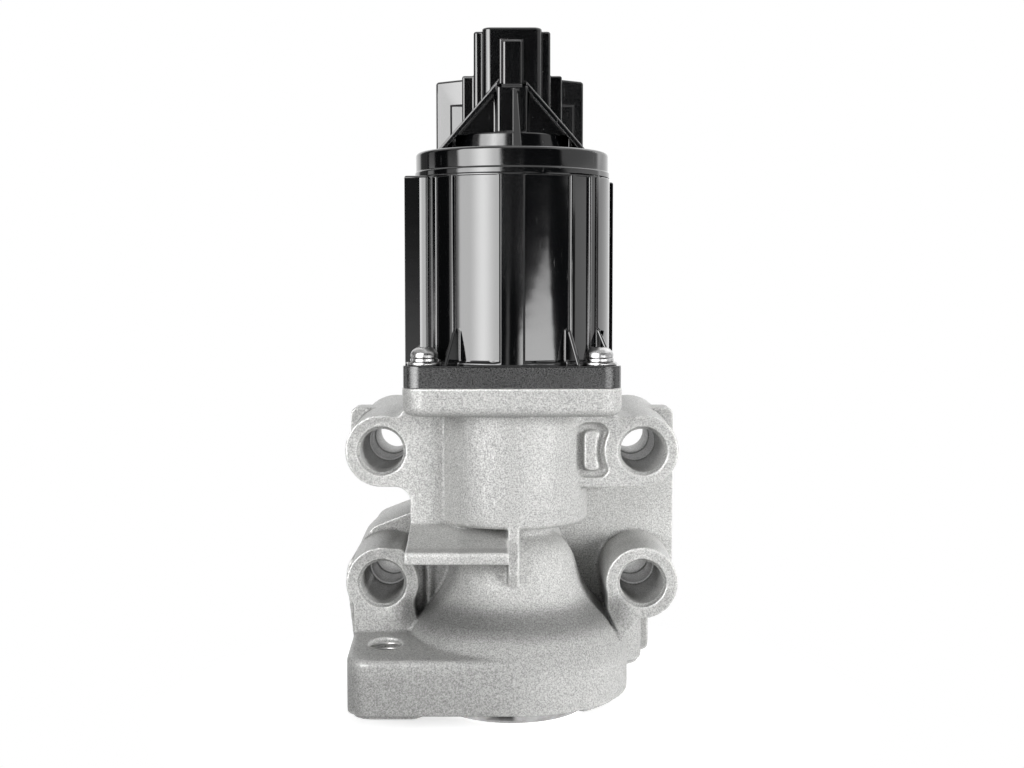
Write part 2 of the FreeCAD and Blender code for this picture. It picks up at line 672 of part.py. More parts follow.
def case_gussets():
    """Thin gussets between the case and its square flange, each in a plane through the axis."""
    z0 = CASE_Z + CASE_FLANGE_H - 0.5
    z1 = z0 + GUSSET_H
    gusset = front([(CASE_R - 2, z0), (GUSSET_R, z0), (GUSSET_TOP_R, z1, 0.5), (CASE_R - 2, z1)],
                   -GUSSET_T / 2, GUSSET_T / 2)
    return (around(gusset, 2, 270 - GUSSET_ANGLE) + around(gusset, 2, 270 + GUSSET_ANGLE)
            + around(gusset, 2, 270 + CORNER_GUSSET_ANGLE))


def case_fins():
    """Two upright fins, each with a flat fairing that leads from the round wall to it."""
    foot_x = CASE_R - FIN_FOOT
    foot_y = math.sqrt(CASE_R ** 2 - foot_x ** 2)
    face_y = FIN_Y + FIN_T / 2
    fin = plan([(-FIN_X, -face_y), (-FIN_X, FIN_T / 2 - FIN_Y), (-foot_x + 2, FIN_T / 2 - FIN_Y),
                (-foot_x + 2, -foot_y), (-foot_x, -foot_y), (-foot_x - FAIRING_W, -face_y)],
               CASE_Z, CASE_TOP_Z)
    return around(fin, 2)


def make_case():
    """Motor case: a ribbed can on a square flange, open at the top."""
    flange_top = CASE_Z + CASE_FLANGE_H
    flange = rounded_square(CASE_FLANGE_W, CASE_CORNER_R, CASE_Z, flange_top)
    can = cylinder(CASE_R, CASE_Z, CASE_TOP_Z)
    body = fused([flange, without(can, case_panels())] + case_fins() + case_gussets())
    hollows = [cylinder(CASE_R - CASE_WALL, flange_top + 1.8, CASE_TOP_Z + 1),
               cylinder(BEARING_R + BEARING_WALL, CASE_Z - 1, CASE_TOP_Z)]
    for x, y in screw_places():
        hollows.append(cylinder(SCREW_R + 0.25, CASE_Z - 1, flange_top + 1, x, y))
        hollows.append(cylinder(WASHER_R + 0.4, flange_top, flange_top + GUSSET_H + 1, x, y))
    return without(body, hollows)


def make_base_plate():
    """Metal end plate that closes the bottom of the motor and carries the lower bearing and the shaft guide."""
    z0 = CASE_Z
    outer = BEARING_R + BEARING_WALL
    return revolve([(GUIDE_BUSH_R, z0), (outer, z0), (outer, LOWER_BEARING_Z + BEARING_H),
                    (BEARING_R, LOWER_BEARING_Z + BEARING_H), (BEARING_R, LOWER_BEARING_Z),
                    (GUIDE_BUSH_R, LOWER_BEARING_Z)])


def make_guide_bush():
    """Sintered bush with a D-shaped hole that keeps the shaft from turning."""
    z0 = CASE_Z
    bush = cylinder(GUIDE_BUSH_R, z0, LOWER_BEARING_Z - 0.6)
    return bush.cut(d_section(SHAFT_R + FIT_GAP, z0 - 1, LOWER_BEARING_Z))


def d_section(radius, z0, z1):
    """A round rod with one flat side."""
    rod = cylinder(radius, z0, z1)
    return rod.cut(block(radius - SHAFT_FLAT, radius + 1, -radius, radius, z0 - 1, z1 + 1))


def make_shaft():
    """Screw shaft: a D-shaped lower end in the guide and a coarse thread above it."""
    z0 = STATOR_Z + 6
    low = d_section(SHAFT_R, SHAFT_TIP_Z, z0)
    z1 = SHAFT_TOP_Z - 2
    teeth = [(0, z0)]
    step = SCREW_LEAD / 2
    count = int((z1 - z0) / step)
    for i in range(count):
        z = z0 + i * step
        teeth += [(SCREW_SHAFT_R - 0.5, z), (SCREW_SHAFT_R, z + step * 0.3), (SCREW_SHAFT_R, z + step * 0.6)]
    teeth += [(SCREW_SHAFT_R - 0.5, z0 + count * step), (0, z0 + count * step)]
    tip = cylinder(SHAFT_R - 0.6, z0 + count * step - 0.5, SHAFT_TOP_Z)
    return fused([low, revolve(teeth), tip])


def make_bearing(name, z):
    """Deep groove ball bearing as its two rings and its balls."""
    middle_r = (BEARING_R + BEARING_BORE_R) / 2
    race = Part.makeTorus(middle_r, BALL_R + 0.1, V(0, 0, z + BEARING_H / 2), UP)
    shapes[name + "_outer_ring"] = tube(BEARING_R, middle_r + RACE_EDGE, z, z + BEARING_H).cut(race)
    shapes[name + "_inner_ring"] = tube(middle_r - RACE_EDGE, BEARING_BORE_R, z, z + BEARING_H).cut(race)
    ball = Part.makeSphere(BALL_R, V(middle_r, 0, z + BEARING_H / 2))
    shapes[name + "_balls"] = Part.makeCompound(around(ball, BALLS))


def make_sleeve():
    """Steel sleeve that carries the magnet, runs in both bearings and holds the nut thread."""
    bore = SCREW_SHAFT_R + FIT_GAP
    z0 = LOWER_BEARING_Z
    z1 = UPPER_BEARING_Z + BEARING_H
    step_z = z0 + BEARING_H
    return revolve([(bore, z0), (BEARING_BORE_R, z0), (BEARING_BORE_R, step_z), (SLEEVE_R, step_z),
                    (SLEEVE_R, UPPER_BEARING_Z), (BEARING_BORE_R, UPPER_BEARING_Z), (BEARING_BORE_R, z1),
                    (bore, z1)])


def make_stator():
    """Laminated core with six poles, and a wound bobbin on each pole."""
    z0 = STATOR_Z
    z1 = STATOR_Z + STATOR_H
    first = 180 / TEETH
    half = TOOTH_W / 2
    yoke = tube(STATOR_R - TOUCH, YOKE_IN_R, z0, z1)
    tooth = block(SHOE_IN_R - 1, YOKE_IN_R + 0.5, -half, half, z0, z1)
    shoe = ring_segment(SHOE_IN_R, SHOE_IN_R + SHOE_T, -SHOE_ANGLE, SHOE_ANGLE, z0, z1)
    pole = without(fused([tooth, shoe]), [cylinder(SHOE_IN_R, z0 - 1, z1 + 1)])
    shapes["stator_core"] = fused([yoke] + around(pole, TEETH, first))
    inside = SHOE_IN_R + SHOE_T + COIL_GAP
    outside = inside + COIL_DEPTH

    def sleeve_round_tooth(inner, thickness, edge):
        """A square sleeve on one tooth, from its inner half width outwards."""
        wide = half + inner + thickness
        out = inner + thickness
        whole = block(inside + edge, outside - edge, -wide, wide, z0 - out, z1 + out)
        core = block(inside - 1, outside + 1, -half - inner, half + inner, z0 - inner, z1 + inner)
        return whole.cut(core)

    bobbin = sleeve_round_tooth(0, BOBBIN_T, 0)
    coil = sleeve_round_tooth(BOBBIN_T, COIL_T, COIL_EDGE)
    shapes["coil_bobbins"] = Part.makeCompound(around(bobbin, TEETH, first))
    shapes["coils"] = Part.makeCompound(around(coil, TEETH, first))


def socket_forms():
    """The connector socket with its lock, the box and keel below it, and the step behind it."""
    half = SOCKET_W / 2
    front_half = SOCKET_FRONT_W / 2
    low = COVER_TOP_Z
    y0, y1 = SOCKET_Y
    socket = plan([(-half, y0, 1.0), (half, y0, 1.0), (half, y1, 1.0), (-half, y1, 1.0)],
                  low, SOCKET_TOP_Z - 0.6)
    face = plan([(-front_half, SOCKET_FRONT_Y, 1.2), (front_half, SOCKET_FRONT_Y, 1.2),
                 (front_half, y1 - 2), (-front_half, y1 - 2)], low, SOCKET_TOP_Z)

    def fronted(width, y, z0, z1):
        """A block on the socket's front face with rounded upright edges."""
        w = width / 2
        return plan([(-w, y, LOCK_CORNER_R), (w, y, LOCK_CORNER_R), (w, y0), (-w, y0)], z0, z1)

    lock = fronted(LOCK_W, LOCK_Y, LOCK_Z[0], LOCK_Z[1])
    box = fronted(LOCK_BOX_W, LOCK_BOX_Y, low, LOCK_Z[0])
    keel = side([(y0, LOCK_Z[0] - 1), (LOCK_BOX_Y - 0.4, LOCK_Z[0] - 1), (-COVER_R + 3.6, low - 0.5),
                 (y0, low - 0.5)], KEEL_X[0], KEEL_X[1])
    step = block(-STEP_W / 2, STEP_W / 2, STEP_Y[0], STEP_Y[1], low, STEP_TOP_Z)
    return [socket, face, lock, box, keel, step]


def socket_stays():
    """Sloping stays on both sides of the socket, with a thin apron and two posts between them."""
    x0, x1 = STAY_X
    foot = COVER_TOP_Z - 0.5
    steep = (STAY_TOP_Z - foot) / (x1 - x0)
    stay = front([(-x0, STAY_TOP_Z), (-x1, foot), (-x1 + STAY_T / steep, foot), (-x0, STAY_TOP_Z - STAY_T)],
                 STAY_Y, STEP_Y[0])
    apron_z = BOSS_TOP_Z - 0.5
    apron_x = x0 + (STAY_TOP_Z - STAY_T / 2 - apron_z) / steep
    apron = front([(-x0, STAY_TOP_Z - STAY_T / 2), (-apron_x, apron_z), (apron_x, apron_z),
                   (x0, STAY_TOP_Z - STAY_T / 2)], SOCKET_FRONT_Y - APRON_T, SOCKET_FRONT_Y + 0.2)
    post = block(-POST_X[1], -POST_X[0], SOCKET_FRONT_Y - APRON_T, SOCKET_FRONT_Y + 0.2, foot, apron_z + 0.5)
    mirrored = [piece.mirror(V(0, 0, 0), V(1, 0, 0)) for piece in (stay, post)]
    return [stay, apron, post] + mirrored


def back_plate():
    """Flat plate behind the socket, with a raised pad on its front."""
    x0, x1 = BACK_PLATE_X
    foot = COVER_TOP_Z - 1
    y = STEP_Y[1]
    plate = front([(x0, foot), (x1, foot), (x1, BACK_PLATE_TOP_Z, 0.8), (x0, BACK_PLATE_TOP_Z, 0.8)],
                  y - 0.2, y + BACK_PLATE_T)
    pad = block(x0 + BACK_PAD_INSET[0], x1 - BACK_PAD_INSET[1], y - 1.2, y, foot, COVER_TOP_Z + BACK_PAD_H)
    return [plate, pad]


def make_cover():
    """End cover: a low cap with the connector socket, its stays and a flat back plate."""
    z0 = CASE_TOP_Z
    step_z = z0 + COVER_STEP_H
    cap = revolve([(0, z0), (COVER_STEP_R, z0), (COVER_STEP_R, step_z), (COVER_R, step_z + 0.2),
                   (COVER_R, COVER_TOP_Z, 1.0), (BOSS_R + 0.6, COVER_TOP_Z), (BOSS_R, BOSS_TOP_Z, 0.8),
                   (0, BOSS_TOP_Z)])
    body = fused([cap] + socket_forms() + socket_stays() + back_plate())
    x = SOCKET_W / 2 - SOCKET_WALL
    y0, y1 = SOCKET_Y[0] + SOCKET_WALL, SOCKET_Y[1] - SOCKET_WALL
    hollow = plan([(-x, y0, 1.5), (x, y0, 1.5), (x, y1, 1.5), (-x, y1, 1.5)], SOCKET_FLOOR_Z, SOCKET_TOP_Z + 1)
    sensor_room = cylinder(PLUNGER_R + 1.0, z0 + 2.0, SENSOR_SPRING_TOP_Z)
    bearing_room = cylinder(BEARING_R, z0 - 1, z0 + 2.2)
    return without(body, [hollow, sensor_room, bearing_room] + terminal_blades())


def terminal_blades():
    """Blades that stand in the socket, in two rows, with their roots in its floor."""
    pins = []
    per_row = TERMINALS // 2
    for row in (-1, 1):
        for i in range(per_row):
            x = (i - (per_row - 1) / 2) * TERMINAL_PITCH
            y = (SOCKET_Y[0] + SOCKET_Y[1]) / 2 + row * TERMINAL_ROWS
            pins.append(block(x - TERMINAL_W, x + TERMINAL_W, y - TERMINAL_W / 2, y + TERMINAL_W / 2,
                              SOCKET_FLOOR_Z - TERMINAL_ROOT, SOCKET_FLOOR_Z + TERMINAL_H))
    return pins


def make_bearing_plate():
    """Metal disc that holds the upper bearing in the top of the case."""
    inner = CASE_R - CASE_WALL - TOUCH
    z0 = UPPER_BEARING_Z
    z1 = CASE_TOP_Z
    low = z1 - BEARING_PLATE_T
    outer = BEARING_R + BEARING_WALL
    return revolve([(BEARING_R, z0), (outer, z0), (outer, low), (inner, low), (inner, z1), (BEARING_R, z1)])


def make_fasteners():
    top = CASE_Z + CASE_FLANGE_H
    washers = []
    springs = []
    screws = []
    for x, y in screw_places():
        washers.append(tube(WASHER_R, SCREW_R + 0.2, top, top + WASHER_T, x, y))
        z = top + WASHER_T
        ring = tube(LOCK_WASHER_R, SCREW_R + 0.2, z, z + LOCK_WASHER_T, x, y)
        springs.append(ring.cut(block(x, x + 5, y - 0.3, y + 0.3, z - 1, z + 2)))
        z += LOCK_WASHER_T
        head = cylinder(SCREW_HEAD_R, z, z + SCREW_HEAD_H, x, y)
        head = rounded(head, 1.3, flat_at(z + SCREW_HEAD_H))
        top_z = z + SCREW_HEAD_H
        floor = top_z - SCREW_SLOT_H
        half_w = SCREW_SLOT_W / 2
        half_l = SCREW_SLOT_L / 2
        slots = block(x - half_w, x + half_w, y - half_l, y + half_l, floor, top_z + 1)
        slots = slots.fuse(block(x - half_l, x + half_l, y - half_w, y + half_w, floor, top_z + 1))
        shank = cylinder(SCREW_R, CASE_Z - SCREW_IN, z + 0.5, x, y)
        screws.append(head.cut(slots).fuse(shank).removeSplitter())
    shapes["flat_washers"] = Part.makeCompound(washers)
    shapes["spring_washers"] = Part.makeCompound(springs)
    shapes["flange_screws"] = Part.makeCompound(screws)


shapes["valve_body"] = make_casting()
shapes["inlet_ring"] = make_inlet_ring()
shapes["valve_disc"] = make_disc()
shapes["valve_stem"] = make_stem()
shapes["stem_guide"] = tube(GUIDE_BORE_R, STEM_R + FIT_GAP, GUIDE_Z, SPRING_ROOM_Z)
shapes["stem_seal"] = tube(SEAL_R, STEM_R + FIT_GAP, SPRING_ROOM_Z, SPRING_ROOM_Z + SEAL_H)
shapes["return_spring"] = helix_wire(SPRING_R, SPRING_WIRE_R, SPRING_ROOM_Z, RETAINER_Z, SPRING_TURNS)
shapes["spring_retainer"] = make_retainer()
shapes["stem_collets"] = make_collets()
shapes["motor_case"] = make_case()
shapes["motor_base_plate"] = make_base_plate()
shapes["shaft_guide"] = make_guide_bush()
make_stator()
shapes["rotor_magnet"] = tube(ROTOR_R, SLEEVE_R, STATOR_Z + MAGNET_END, STATOR_Z + STATOR_H - MAGNET_END)
shapes["rotor_sleeve"] = make_sleeve()
make_bearing("lower_bearing", LOWER_BEARING_Z)
make_bearing("upper_bearing", UPPER_BEARING_Z)
shapes["drive_shaft"] = make_shaft()
shapes["bearing_plate"] = make_bearing_plate()
shapes["end_cover"] = make_cover()
shapes["connector_terminals"] = Part.makeCompound(terminal_blades())
shapes["sensor_plunger"] = cylinder(PLUNGER_R, SHAFT_TOP_Z + FIT_GAP, PLUNGER_TOP_Z)
shapes["sensor_spring"] = helix_wire(PLUNGER_R - 0.4, SENSOR_WIRE_R, PLUNGER_TOP_Z, SENSOR_SPRING_TOP_Z,
                                     SENSOR_TURNS)
make_fasteners()

for name, shape in shapes.items():
    shape.exportStep("parts/" + name + ".step")
    print(name, "valid" if shape.isValid() else "INVALID", len(shape.Solids), "solids", round(shape.Volume))
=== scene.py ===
"""Dresses an exhaust gas recirculation valve: cast body, glossy motor case, fasteners and studio."""
import json
import math

import bmesh
import bpy
from bpy.props import FloatProperty, FloatVectorProperty, IntProperty, PointerProperty
from mathutils import Matrix, Vector


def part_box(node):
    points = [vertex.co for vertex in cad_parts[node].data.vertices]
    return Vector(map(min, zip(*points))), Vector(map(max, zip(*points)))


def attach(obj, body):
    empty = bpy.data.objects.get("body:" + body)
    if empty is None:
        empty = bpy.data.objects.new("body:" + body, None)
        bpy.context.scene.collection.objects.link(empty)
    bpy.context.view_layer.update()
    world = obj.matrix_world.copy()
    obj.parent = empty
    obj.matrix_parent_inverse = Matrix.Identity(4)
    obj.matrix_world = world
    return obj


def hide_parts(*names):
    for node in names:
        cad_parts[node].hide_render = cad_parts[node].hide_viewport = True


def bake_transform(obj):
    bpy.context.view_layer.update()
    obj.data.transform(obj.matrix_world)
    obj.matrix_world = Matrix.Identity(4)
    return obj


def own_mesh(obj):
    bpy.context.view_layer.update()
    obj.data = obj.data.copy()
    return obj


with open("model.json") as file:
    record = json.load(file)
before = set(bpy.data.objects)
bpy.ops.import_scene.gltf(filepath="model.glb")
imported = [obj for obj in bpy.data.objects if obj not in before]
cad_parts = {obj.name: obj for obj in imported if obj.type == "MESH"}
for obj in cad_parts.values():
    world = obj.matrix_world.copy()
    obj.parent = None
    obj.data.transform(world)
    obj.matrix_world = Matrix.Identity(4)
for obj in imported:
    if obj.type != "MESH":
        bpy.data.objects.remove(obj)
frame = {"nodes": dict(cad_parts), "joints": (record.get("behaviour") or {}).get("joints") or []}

bl_info = {
    "name": "Exhaust Valve Finish",
    "version": (1, 0, 0),
    "blender": (4, 5, 0),
    "location": "View3D > Sidebar > Valve",
    "description": "Builds the looks of an exhaust gas recirculation valve round its CAD model",
    "category": "Object",
}

MM = 0.001
MERGE = 1e-6  # doubles closer than this are one point
SOLID = frame["nodes"]
CASE_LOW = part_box("motor_case")[0]
COVER_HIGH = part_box("end_cover")[1]
WASHER_LOW, WASHER_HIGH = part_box("flat_washers")
LOCK_LOW, LOCK_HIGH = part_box("spring_washers")
SCREW_LOW, SCREW_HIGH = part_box("flange_screws")
SPRING_LOW, SPRING_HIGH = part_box("return_spring")
SENSOR_LOW, SENSOR_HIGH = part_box("sensor_spring")


# Shader maths


class Wire:
    """One output of a node. Arithmetic on it adds Math nodes to its tree."""

    def __init__(self, nodes, socket):
        self.nodes = nodes
        self.socket = socket

    def maths(self, operation, *values):
        return self.nodes.add("ShaderNodeMath", {"operation": operation}, dict(enumerate(values)))

    def __add__(self, other):
        return self.maths("ADD", self, other)

    def __radd__(self, other):
        return self.maths("ADD", other, self)

    def __sub__(self, other):
        return self.maths("SUBTRACT", self, other)

    def __rsub__(self, other):
        return self.maths("SUBTRACT", other, self)

    def __mul__(self, other):
        return self.maths("MULTIPLY", self, other)

    def __rmul__(self, other):
        return self.maths("MULTIPLY", other, self)

    def __truediv__(self, other):
        return self.maths("DIVIDE", self, other)

    def __rtruediv__(self, other):
        return self.maths("DIVIDE", other, self)

    def __pow__(self, other):
        return self.maths("POWER", self, other)

    def __neg__(self):
        return self.maths("MULTIPLY", self, -1.0)

    def __abs__(self):
        return self.maths("ABSOLUTE", self)

    def sine(self):
        return self.maths("SINE", self)

    def fraction(self):
        return self.maths("FRACT", self)

    def most(self, other):
        return self.maths("MAXIMUM", self, other)

    def ramp(self, low, high, start=0.0, end=1.0):
        """Goes smoothly from start to end as the value goes from low to high."""
        values = {"Value": self, "From Min": low, "From Max": high, "To Min": start, "To Max": end}
        return self.nodes.add("ShaderNodeMapRange", {"interpolation_type": "SMOOTHSTEP"}, values)

    def window(self, low, high, soft):
        """1 between low and high, with edges of width soft."""
        return self.ramp(low - soft, low + soft) * self.ramp(high - soft, high + soft, 1.0, 0.0)


class Nodes:
    """A node tree that is filled through one method."""

    def __init__(self, tree):
        self.tree = tree
        tree.nodes.clear()

    def add(self, kind, settings=None, inputs=None, output=0):
        """Adds a node with its settings first, then the values or links of its sockets."""
        node = self.tree.nodes.new(kind)
        for name, value in (settings or {}).items():
            setattr(node, name, value)
        for name, value in (inputs or {}).items():
            if isinstance(value, Wire):
                self.tree.links.new(value.socket, node.inputs[name])
            else:
                node.inputs[name].default_value = value
        return Wire(self, node.outputs[output]) if len(node.outputs) else None

    def place(self):
        """The point on the piece in its own frame, in metres."""
        return self.add("ShaderNodeTexCoord", output="Object")

    def stretched(self, factors, turn=(0.0, 0.0, 0.0)):
        """The point, turned and then scaled along each axis."""
        values = {"Vector": self.place(), "Rotation": turn, "Scale": factors}
        return self.add("ShaderNodeMapping", {"vector_type": "POINT"}, values)

    def axes(self):
        """X, Y and Z of the point in millimetres."""
        scaled = self.add("ShaderNodeVectorMath", {"operation": "SCALE"}, {0: self.place(), "Scale": 1 / MM})
        split = self.add("ShaderNodeSeparateXYZ", inputs={0: scaled})
        outputs = split.socket.node.outputs
        return [Wire(self, outputs[i]) for i in range(3)]

    def noise(self, size, detail=2.0, rough=0.5, where=None):
        """Soft noise about 0.5 whose blotches are size metres across."""
        values = {"Vector": where or self.place(), "Scale": 1 / size, "Detail": detail, "Roughness": rough}
        return self.add("ShaderNodeTexNoise", inputs=values)

    def cells(self, size):
        """Distance to the nearest of scattered points about size metres apart."""
        return self.add("ShaderNodeTexVoronoi", inputs={"Vector": self.place(), "Scale": 1 / size})

    def blend(self, low, high, factor):
        """A colour between two colours."""
        return self.add("ShaderNodeMix", {"data_type": "RGBA"}, {0: factor, 6: low, 7: high}, 2)

    def bump(self, height, depth, strength=1.0, under=None):
        """A normal from a height between 0 and 1 that stands for depth metres."""
        values = {"Height": height, "Distance": depth, "Strength": strength}
        if under:
            values["Normal"] = under
        return self.add("ShaderNodeBump", inputs=values)

    def worn(self, low, high):
        """1 on convex edges, from how pointed the mesh is there."""
        return self.add("ShaderNodeNewGeometry", output="Pointiness").ramp(low, high)


def grey(value, warm=0.0):
    """A neutral colour, a little warmer where warm is above 0."""
    return (value * (1 + warm), value, value * (1 - warm), 1.0)


MADE = {}  # finishes by name, so that pieces of one metal share one


def finish_of(name, build, **constants):
    """A material whose varying inputs come from build(nodes) and whose constants sit on the sockets."""
    if name in MADE:
        return MADE[name]
    material = MADE[name] = bpy.data.materials.new(name + "_finish")
    material.use_nodes = True
    nodes = Nodes(material.node_tree)
    varied = build(nodes)
    shader = nodes.add("ShaderNodeBsdfPrincipled", inputs={**constants, **varied})
    nodes.add("ShaderNodeOutputMaterial", inputs={"Surface": shader})
    return material


# Materials


BRIGHTEST = 1.5  # a bright speck of the casting against its tone
BOLT_X, BOLT_MID_Z, BOLT_HALF_Z = 34.6, 52.6, 17.7  # where the four bolt bores run, in millimetres
BORE_R = 6.3  # radius that takes in all steps of a bore
LEDGE_MID_Y, LEDGE_HALF_Y = 22.5, 6.5  # the two ledges inside each bore


def painted_light_and_shade(x, y, z):
    """A factor about 1 on the casting's tone that paints light and shade: painted shade in the valley at the
    bell's foot, under the shelf and towards the bottom, painted light on the web, the bell and the neck's left
    side, and a painted highlight towards the flange's right end with painted shade at its left.
    """
    radius = (x * x + y * y) ** 0.5
    # painted shade in the valley at the bell's foot
    bell_foot_shade = radius.window(21.5, 32.0, 2.5) * z.window(23.5, 31.0, 2.0) * y.ramp(4, 12, 1.0, 0.0)
    # painted shade under the shelf
    under_shelf_shade = x.window(-29, -14, 1.5) * z.window(26, 43.5, 1.5) * y.window(-11, 7, 3)
    # painted shade: darker towards the bottom
    shade_towards_bottom = z.ramp(14, 40, 0.84, 1.0)
    # painted light on the web right of the bell
    web = x.ramp(14, 19) * y.window(3, 34, 3) * z.window(26, 64, 4)
    # painted highlight towards the flange's right end, painted shade at its left
    flange = z.ramp(14, 18, 1.0, 0.0) * x.ramp(-30, 26, -0.15, 0.20)
    # painted light on the front of the bell and of the neck's left side
    bell = radius.window(4, 21, 2) * z.window(30, 44, 3)
    neck_side_light = x.window(-30, -13.5, 1) * z.window(46, 76, 3)
    front = (bell + neck_side_light) * y.ramp(0, 6, 1.0, 0.0)
    # the painted shade together, then the painted light
    darker = (1 - 0.48 * bell_foot_shade) * (1 - 0.45 * under_shelf_shade) * shade_towards_bottom
    return darker * (1 + 0.20 * web) * (1 + flange) * (1 + 0.13 * front)


def ledge_glow_mask(x, y, z):
    """1 on the two narrow ledges in each bolt bore, where a glow is painted on as emission."""
    across, up = abs(x) - BOLT_X, abs(z - BOLT_MID_Z) - BOLT_HALF_Z
    in_bore = (across * across + up * up).ramp(BORE_R ** 2, (BORE_R + 0.5) ** 2, 1.0, 0.0)
    return abs(abs(y - LEDGE_MID_Y) - LEDGE_HALF_Y).ramp(0.2, 0.5, 1.0, 0.0) * in_bore


def cast_aluminium():
    """Blasted die casting: fine grain, paler worn edges that also carry a painted highlight, painted shade in
    concave creases and by region, and a painted glow on the bore ledges.
    """
    settings = bpy.context.scene.valve_casting
    size = settings.grain
    dark, pale = (0.0, 0.0, 0.0, 1.0), tuple(BRIGHTEST * part for part in settings.tone) + (1.0,)

    def build(nodes):
        x, y, z = nodes.axes()
        fine = nodes.noise(size, 3.0, 0.75)
        coarse = nodes.noise(size * 4.3, 3.0, 0.65)
        clouds = nodes.noise(14 * MM, 3.0, 0.5)
        speckle = fine.ramp(0.26, 0.74)
        # paler on convex edges: partly wear, partly a painted highlight along the rims
        edge = nodes.worn(0.506, 0.535)
        # painted shade in concave creases and recesses
        crease_shade_mask = nodes.worn(0.462, 0.496)
        level = 0.44 + 0.82 * speckle + 0.16 * (clouds - 0.5) + 0.22 * (coarse - 0.5)
        # less painted crease shade inside the upper right pocket
        pocket_less_shade = x.window(15.5, 27, 1) * y.ramp(-4, -2, 1.0, 0.0) * z.window(60.5, 80, 1)
        level = level * (0.72 + 0.28 * crease_shade_mask.most(pocket_less_shade * 0.8)) + 0.34 * edge
        # the tone also carries the painted light and shade by region
        colour = nodes.blend(dark, pale, level * painted_light_and_shade(x, y, z) / BRIGHTEST)
        shine = 0.10 + 0.16 * speckle * coarse.ramp(0.42, 0.60) + 0.20 * edge
        rough = 0.50 - 0.10 * speckle - 0.08 * edge + 0.10 * (clouds - 0.5)
        # painted glow: the bore ledges emit light, though they are no lamp
        ledge_glow = nodes.blend(dark, grey(0.17), ledge_glow_mask(x, y, z))
        grain = nodes.bump(fine, 0.05 * MM, 0.6)
        dimple = nodes.bump(coarse, 0.16 * MM, 0.5, grain)
        return {"Base Color": colour, "Metallic": shine, "Roughness": rough, "Normal": dimple,
                "Emission Color": ledge_glow}

    return finish_of("cast_aluminium", build, **{"Specular IOR Level": 0.3, "Emission Strength": 1.0})


def scratches(nodes):
    """Thin scattered scratches in two directions, from 0 to 1."""
    lines = []
    for turn, along in (((0.0, 1.1, 0.2), (1900, 900, 120)), ((0.3, -0.7, 0.0), (1900, 900, 160))):
        streaks = nodes.noise(1.0, 1.0, 0.5, nodes.stretched(along, turn))
        lines.append(streaks.ramp(0.755, 0.80))
    return lines[0].most(lines[1])


CASE_FLANGE_TOP = CASE_LOW.z / MM + 5.6  # top of the case's square flange, in millimetres
CONNECTOR_LOW = COVER_HIGH.z - 32 * MM  # the cap's flat top, where the connector starts


def moulded_black():
    """Black moulding: a polished case, a satin connector and a scuffed flange."""
    deep = tuple(bpy.context.scene.valve_plastic.colour) + (1.0,)

    def build(nodes):
        x, y, z = nodes.axes()
        on_flange = z.ramp(CASE_FLANGE_TOP - 0.5, CASE_FLANGE_TOP - 0.1, 1.0, 0.0)
        on_strip = abs(x).ramp(2.9, 3.3, 1.0, 0.0) * z.window(116.0, 149.0, 9.0) * 0.3
        blotch = nodes.noise(0.42 * MM, 4.0, 0.8).ramp(0.30, 0.70)
        scuffed = (on_flange * (0.16 + 0.66 * blotch)).most(on_strip * blotch * 0.8)
        marks = scratches(nodes).most(nodes.cells(2.6 * MM).ramp(0.035, 0.05, 1.0, 0.0))
        haze = nodes.noise(9 * MM, 3.0, 0.6)
        colour = nodes.blend(deep, grey(0.045), scuffed * 0.8 + 0.3 * marks)
        gloss = z.ramp(CONNECTOR_LOW / MM - 0.3, CONNECTOR_LOW / MM + 0.3, 0.08, 0.16)
        rough = gloss + 0.36 * scuffed + 0.12 * marks + 0.06 * (haze - 0.5)
        ripple = nodes.bump(nodes.noise(5 * MM, 1.0, 0.4), 0.03 * MM, 0.5)
        texture = nodes.bump(nodes.noise(0.45 * MM, 2.0, 0.6) * (scuffed + 0.06), 0.06 * MM, 0.35, ripple)
        return {"Base Color": colour, "Roughness": rough.most(0.03), "Normal": texture}

    return finish_of("moulded_black", build, IOR=1.75)


def plated_zinc():
    """Bright zinc plating, a little clouded."""
    def build(nodes):
        film = nodes.noise(1.6 * MM, 3.0, 0.55)
        edge = nodes.worn(0.52, 0.62)
        colour = nodes.blend(grey(0.34, 0.01), grey(0.58), film.ramp(0.35, 0.65))
        rough = 0.24 + 0.14 * film - 0.06 * edge
        ripple = nodes.bump(nodes.noise(0.5 * MM, 2.0, 0.5), 0.02 * MM, 0.4)
        return {"Base Color": colour, "Roughness": rough, "Normal": ripple}

    return finish_of("plated_zinc", build, Metallic=1.0)


def turned_steel(name="turned_steel", light=0.66, rough_level=0.20, pitch=0.10):
    """Lathe-turned metal with fine rings about the valve axis, pitch millimetres apart."""
    def build(nodes):
        x, y, z = nodes.axes()
        radius = (x * x + y * y) ** 0.5
        rings = ((radius + z) * (2 * math.pi / pitch)).sine()
        stain = nodes.noise(4 * MM, 4.0, 0.6)
        colour = nodes.blend(grey(light * 0.80, 0.02), grey(light), stain.ramp(0.35, 0.6))
        rough = rough_level + 0.14 * (stain - 0.4)
        groove = nodes.bump(rings * 0.5 + 0.5, 0.004 * MM, 0.25)
        return {"Base Color": colour, "Roughness": rough.most(0.06), "Normal": groove}

    return finish_of(name, build, Metallic=1.0)


def sintered_bronze():
    """Porous bronze of the guide bushes."""
    def build(nodes):
        pores = nodes.cells(0.35 * MM).ramp(0.10, 0.35)
        patina = nodes.noise(3 * MM, 4.0, 0.6)
        colour = nodes.blend((0.30, 0.16, 0.06, 1.0), (0.66, 0.42, 0.19, 1.0), patina.ramp(0.3, 0.6) * pores)
        pits = nodes.bump(pores, 0.05 * MM, 0.4)
        return {"Base Color": colour, "Roughness": 0.46 - 0.12 * pores, "Normal": pits}

    return finish_of("sintered_bronze", build, Metallic=0.9)


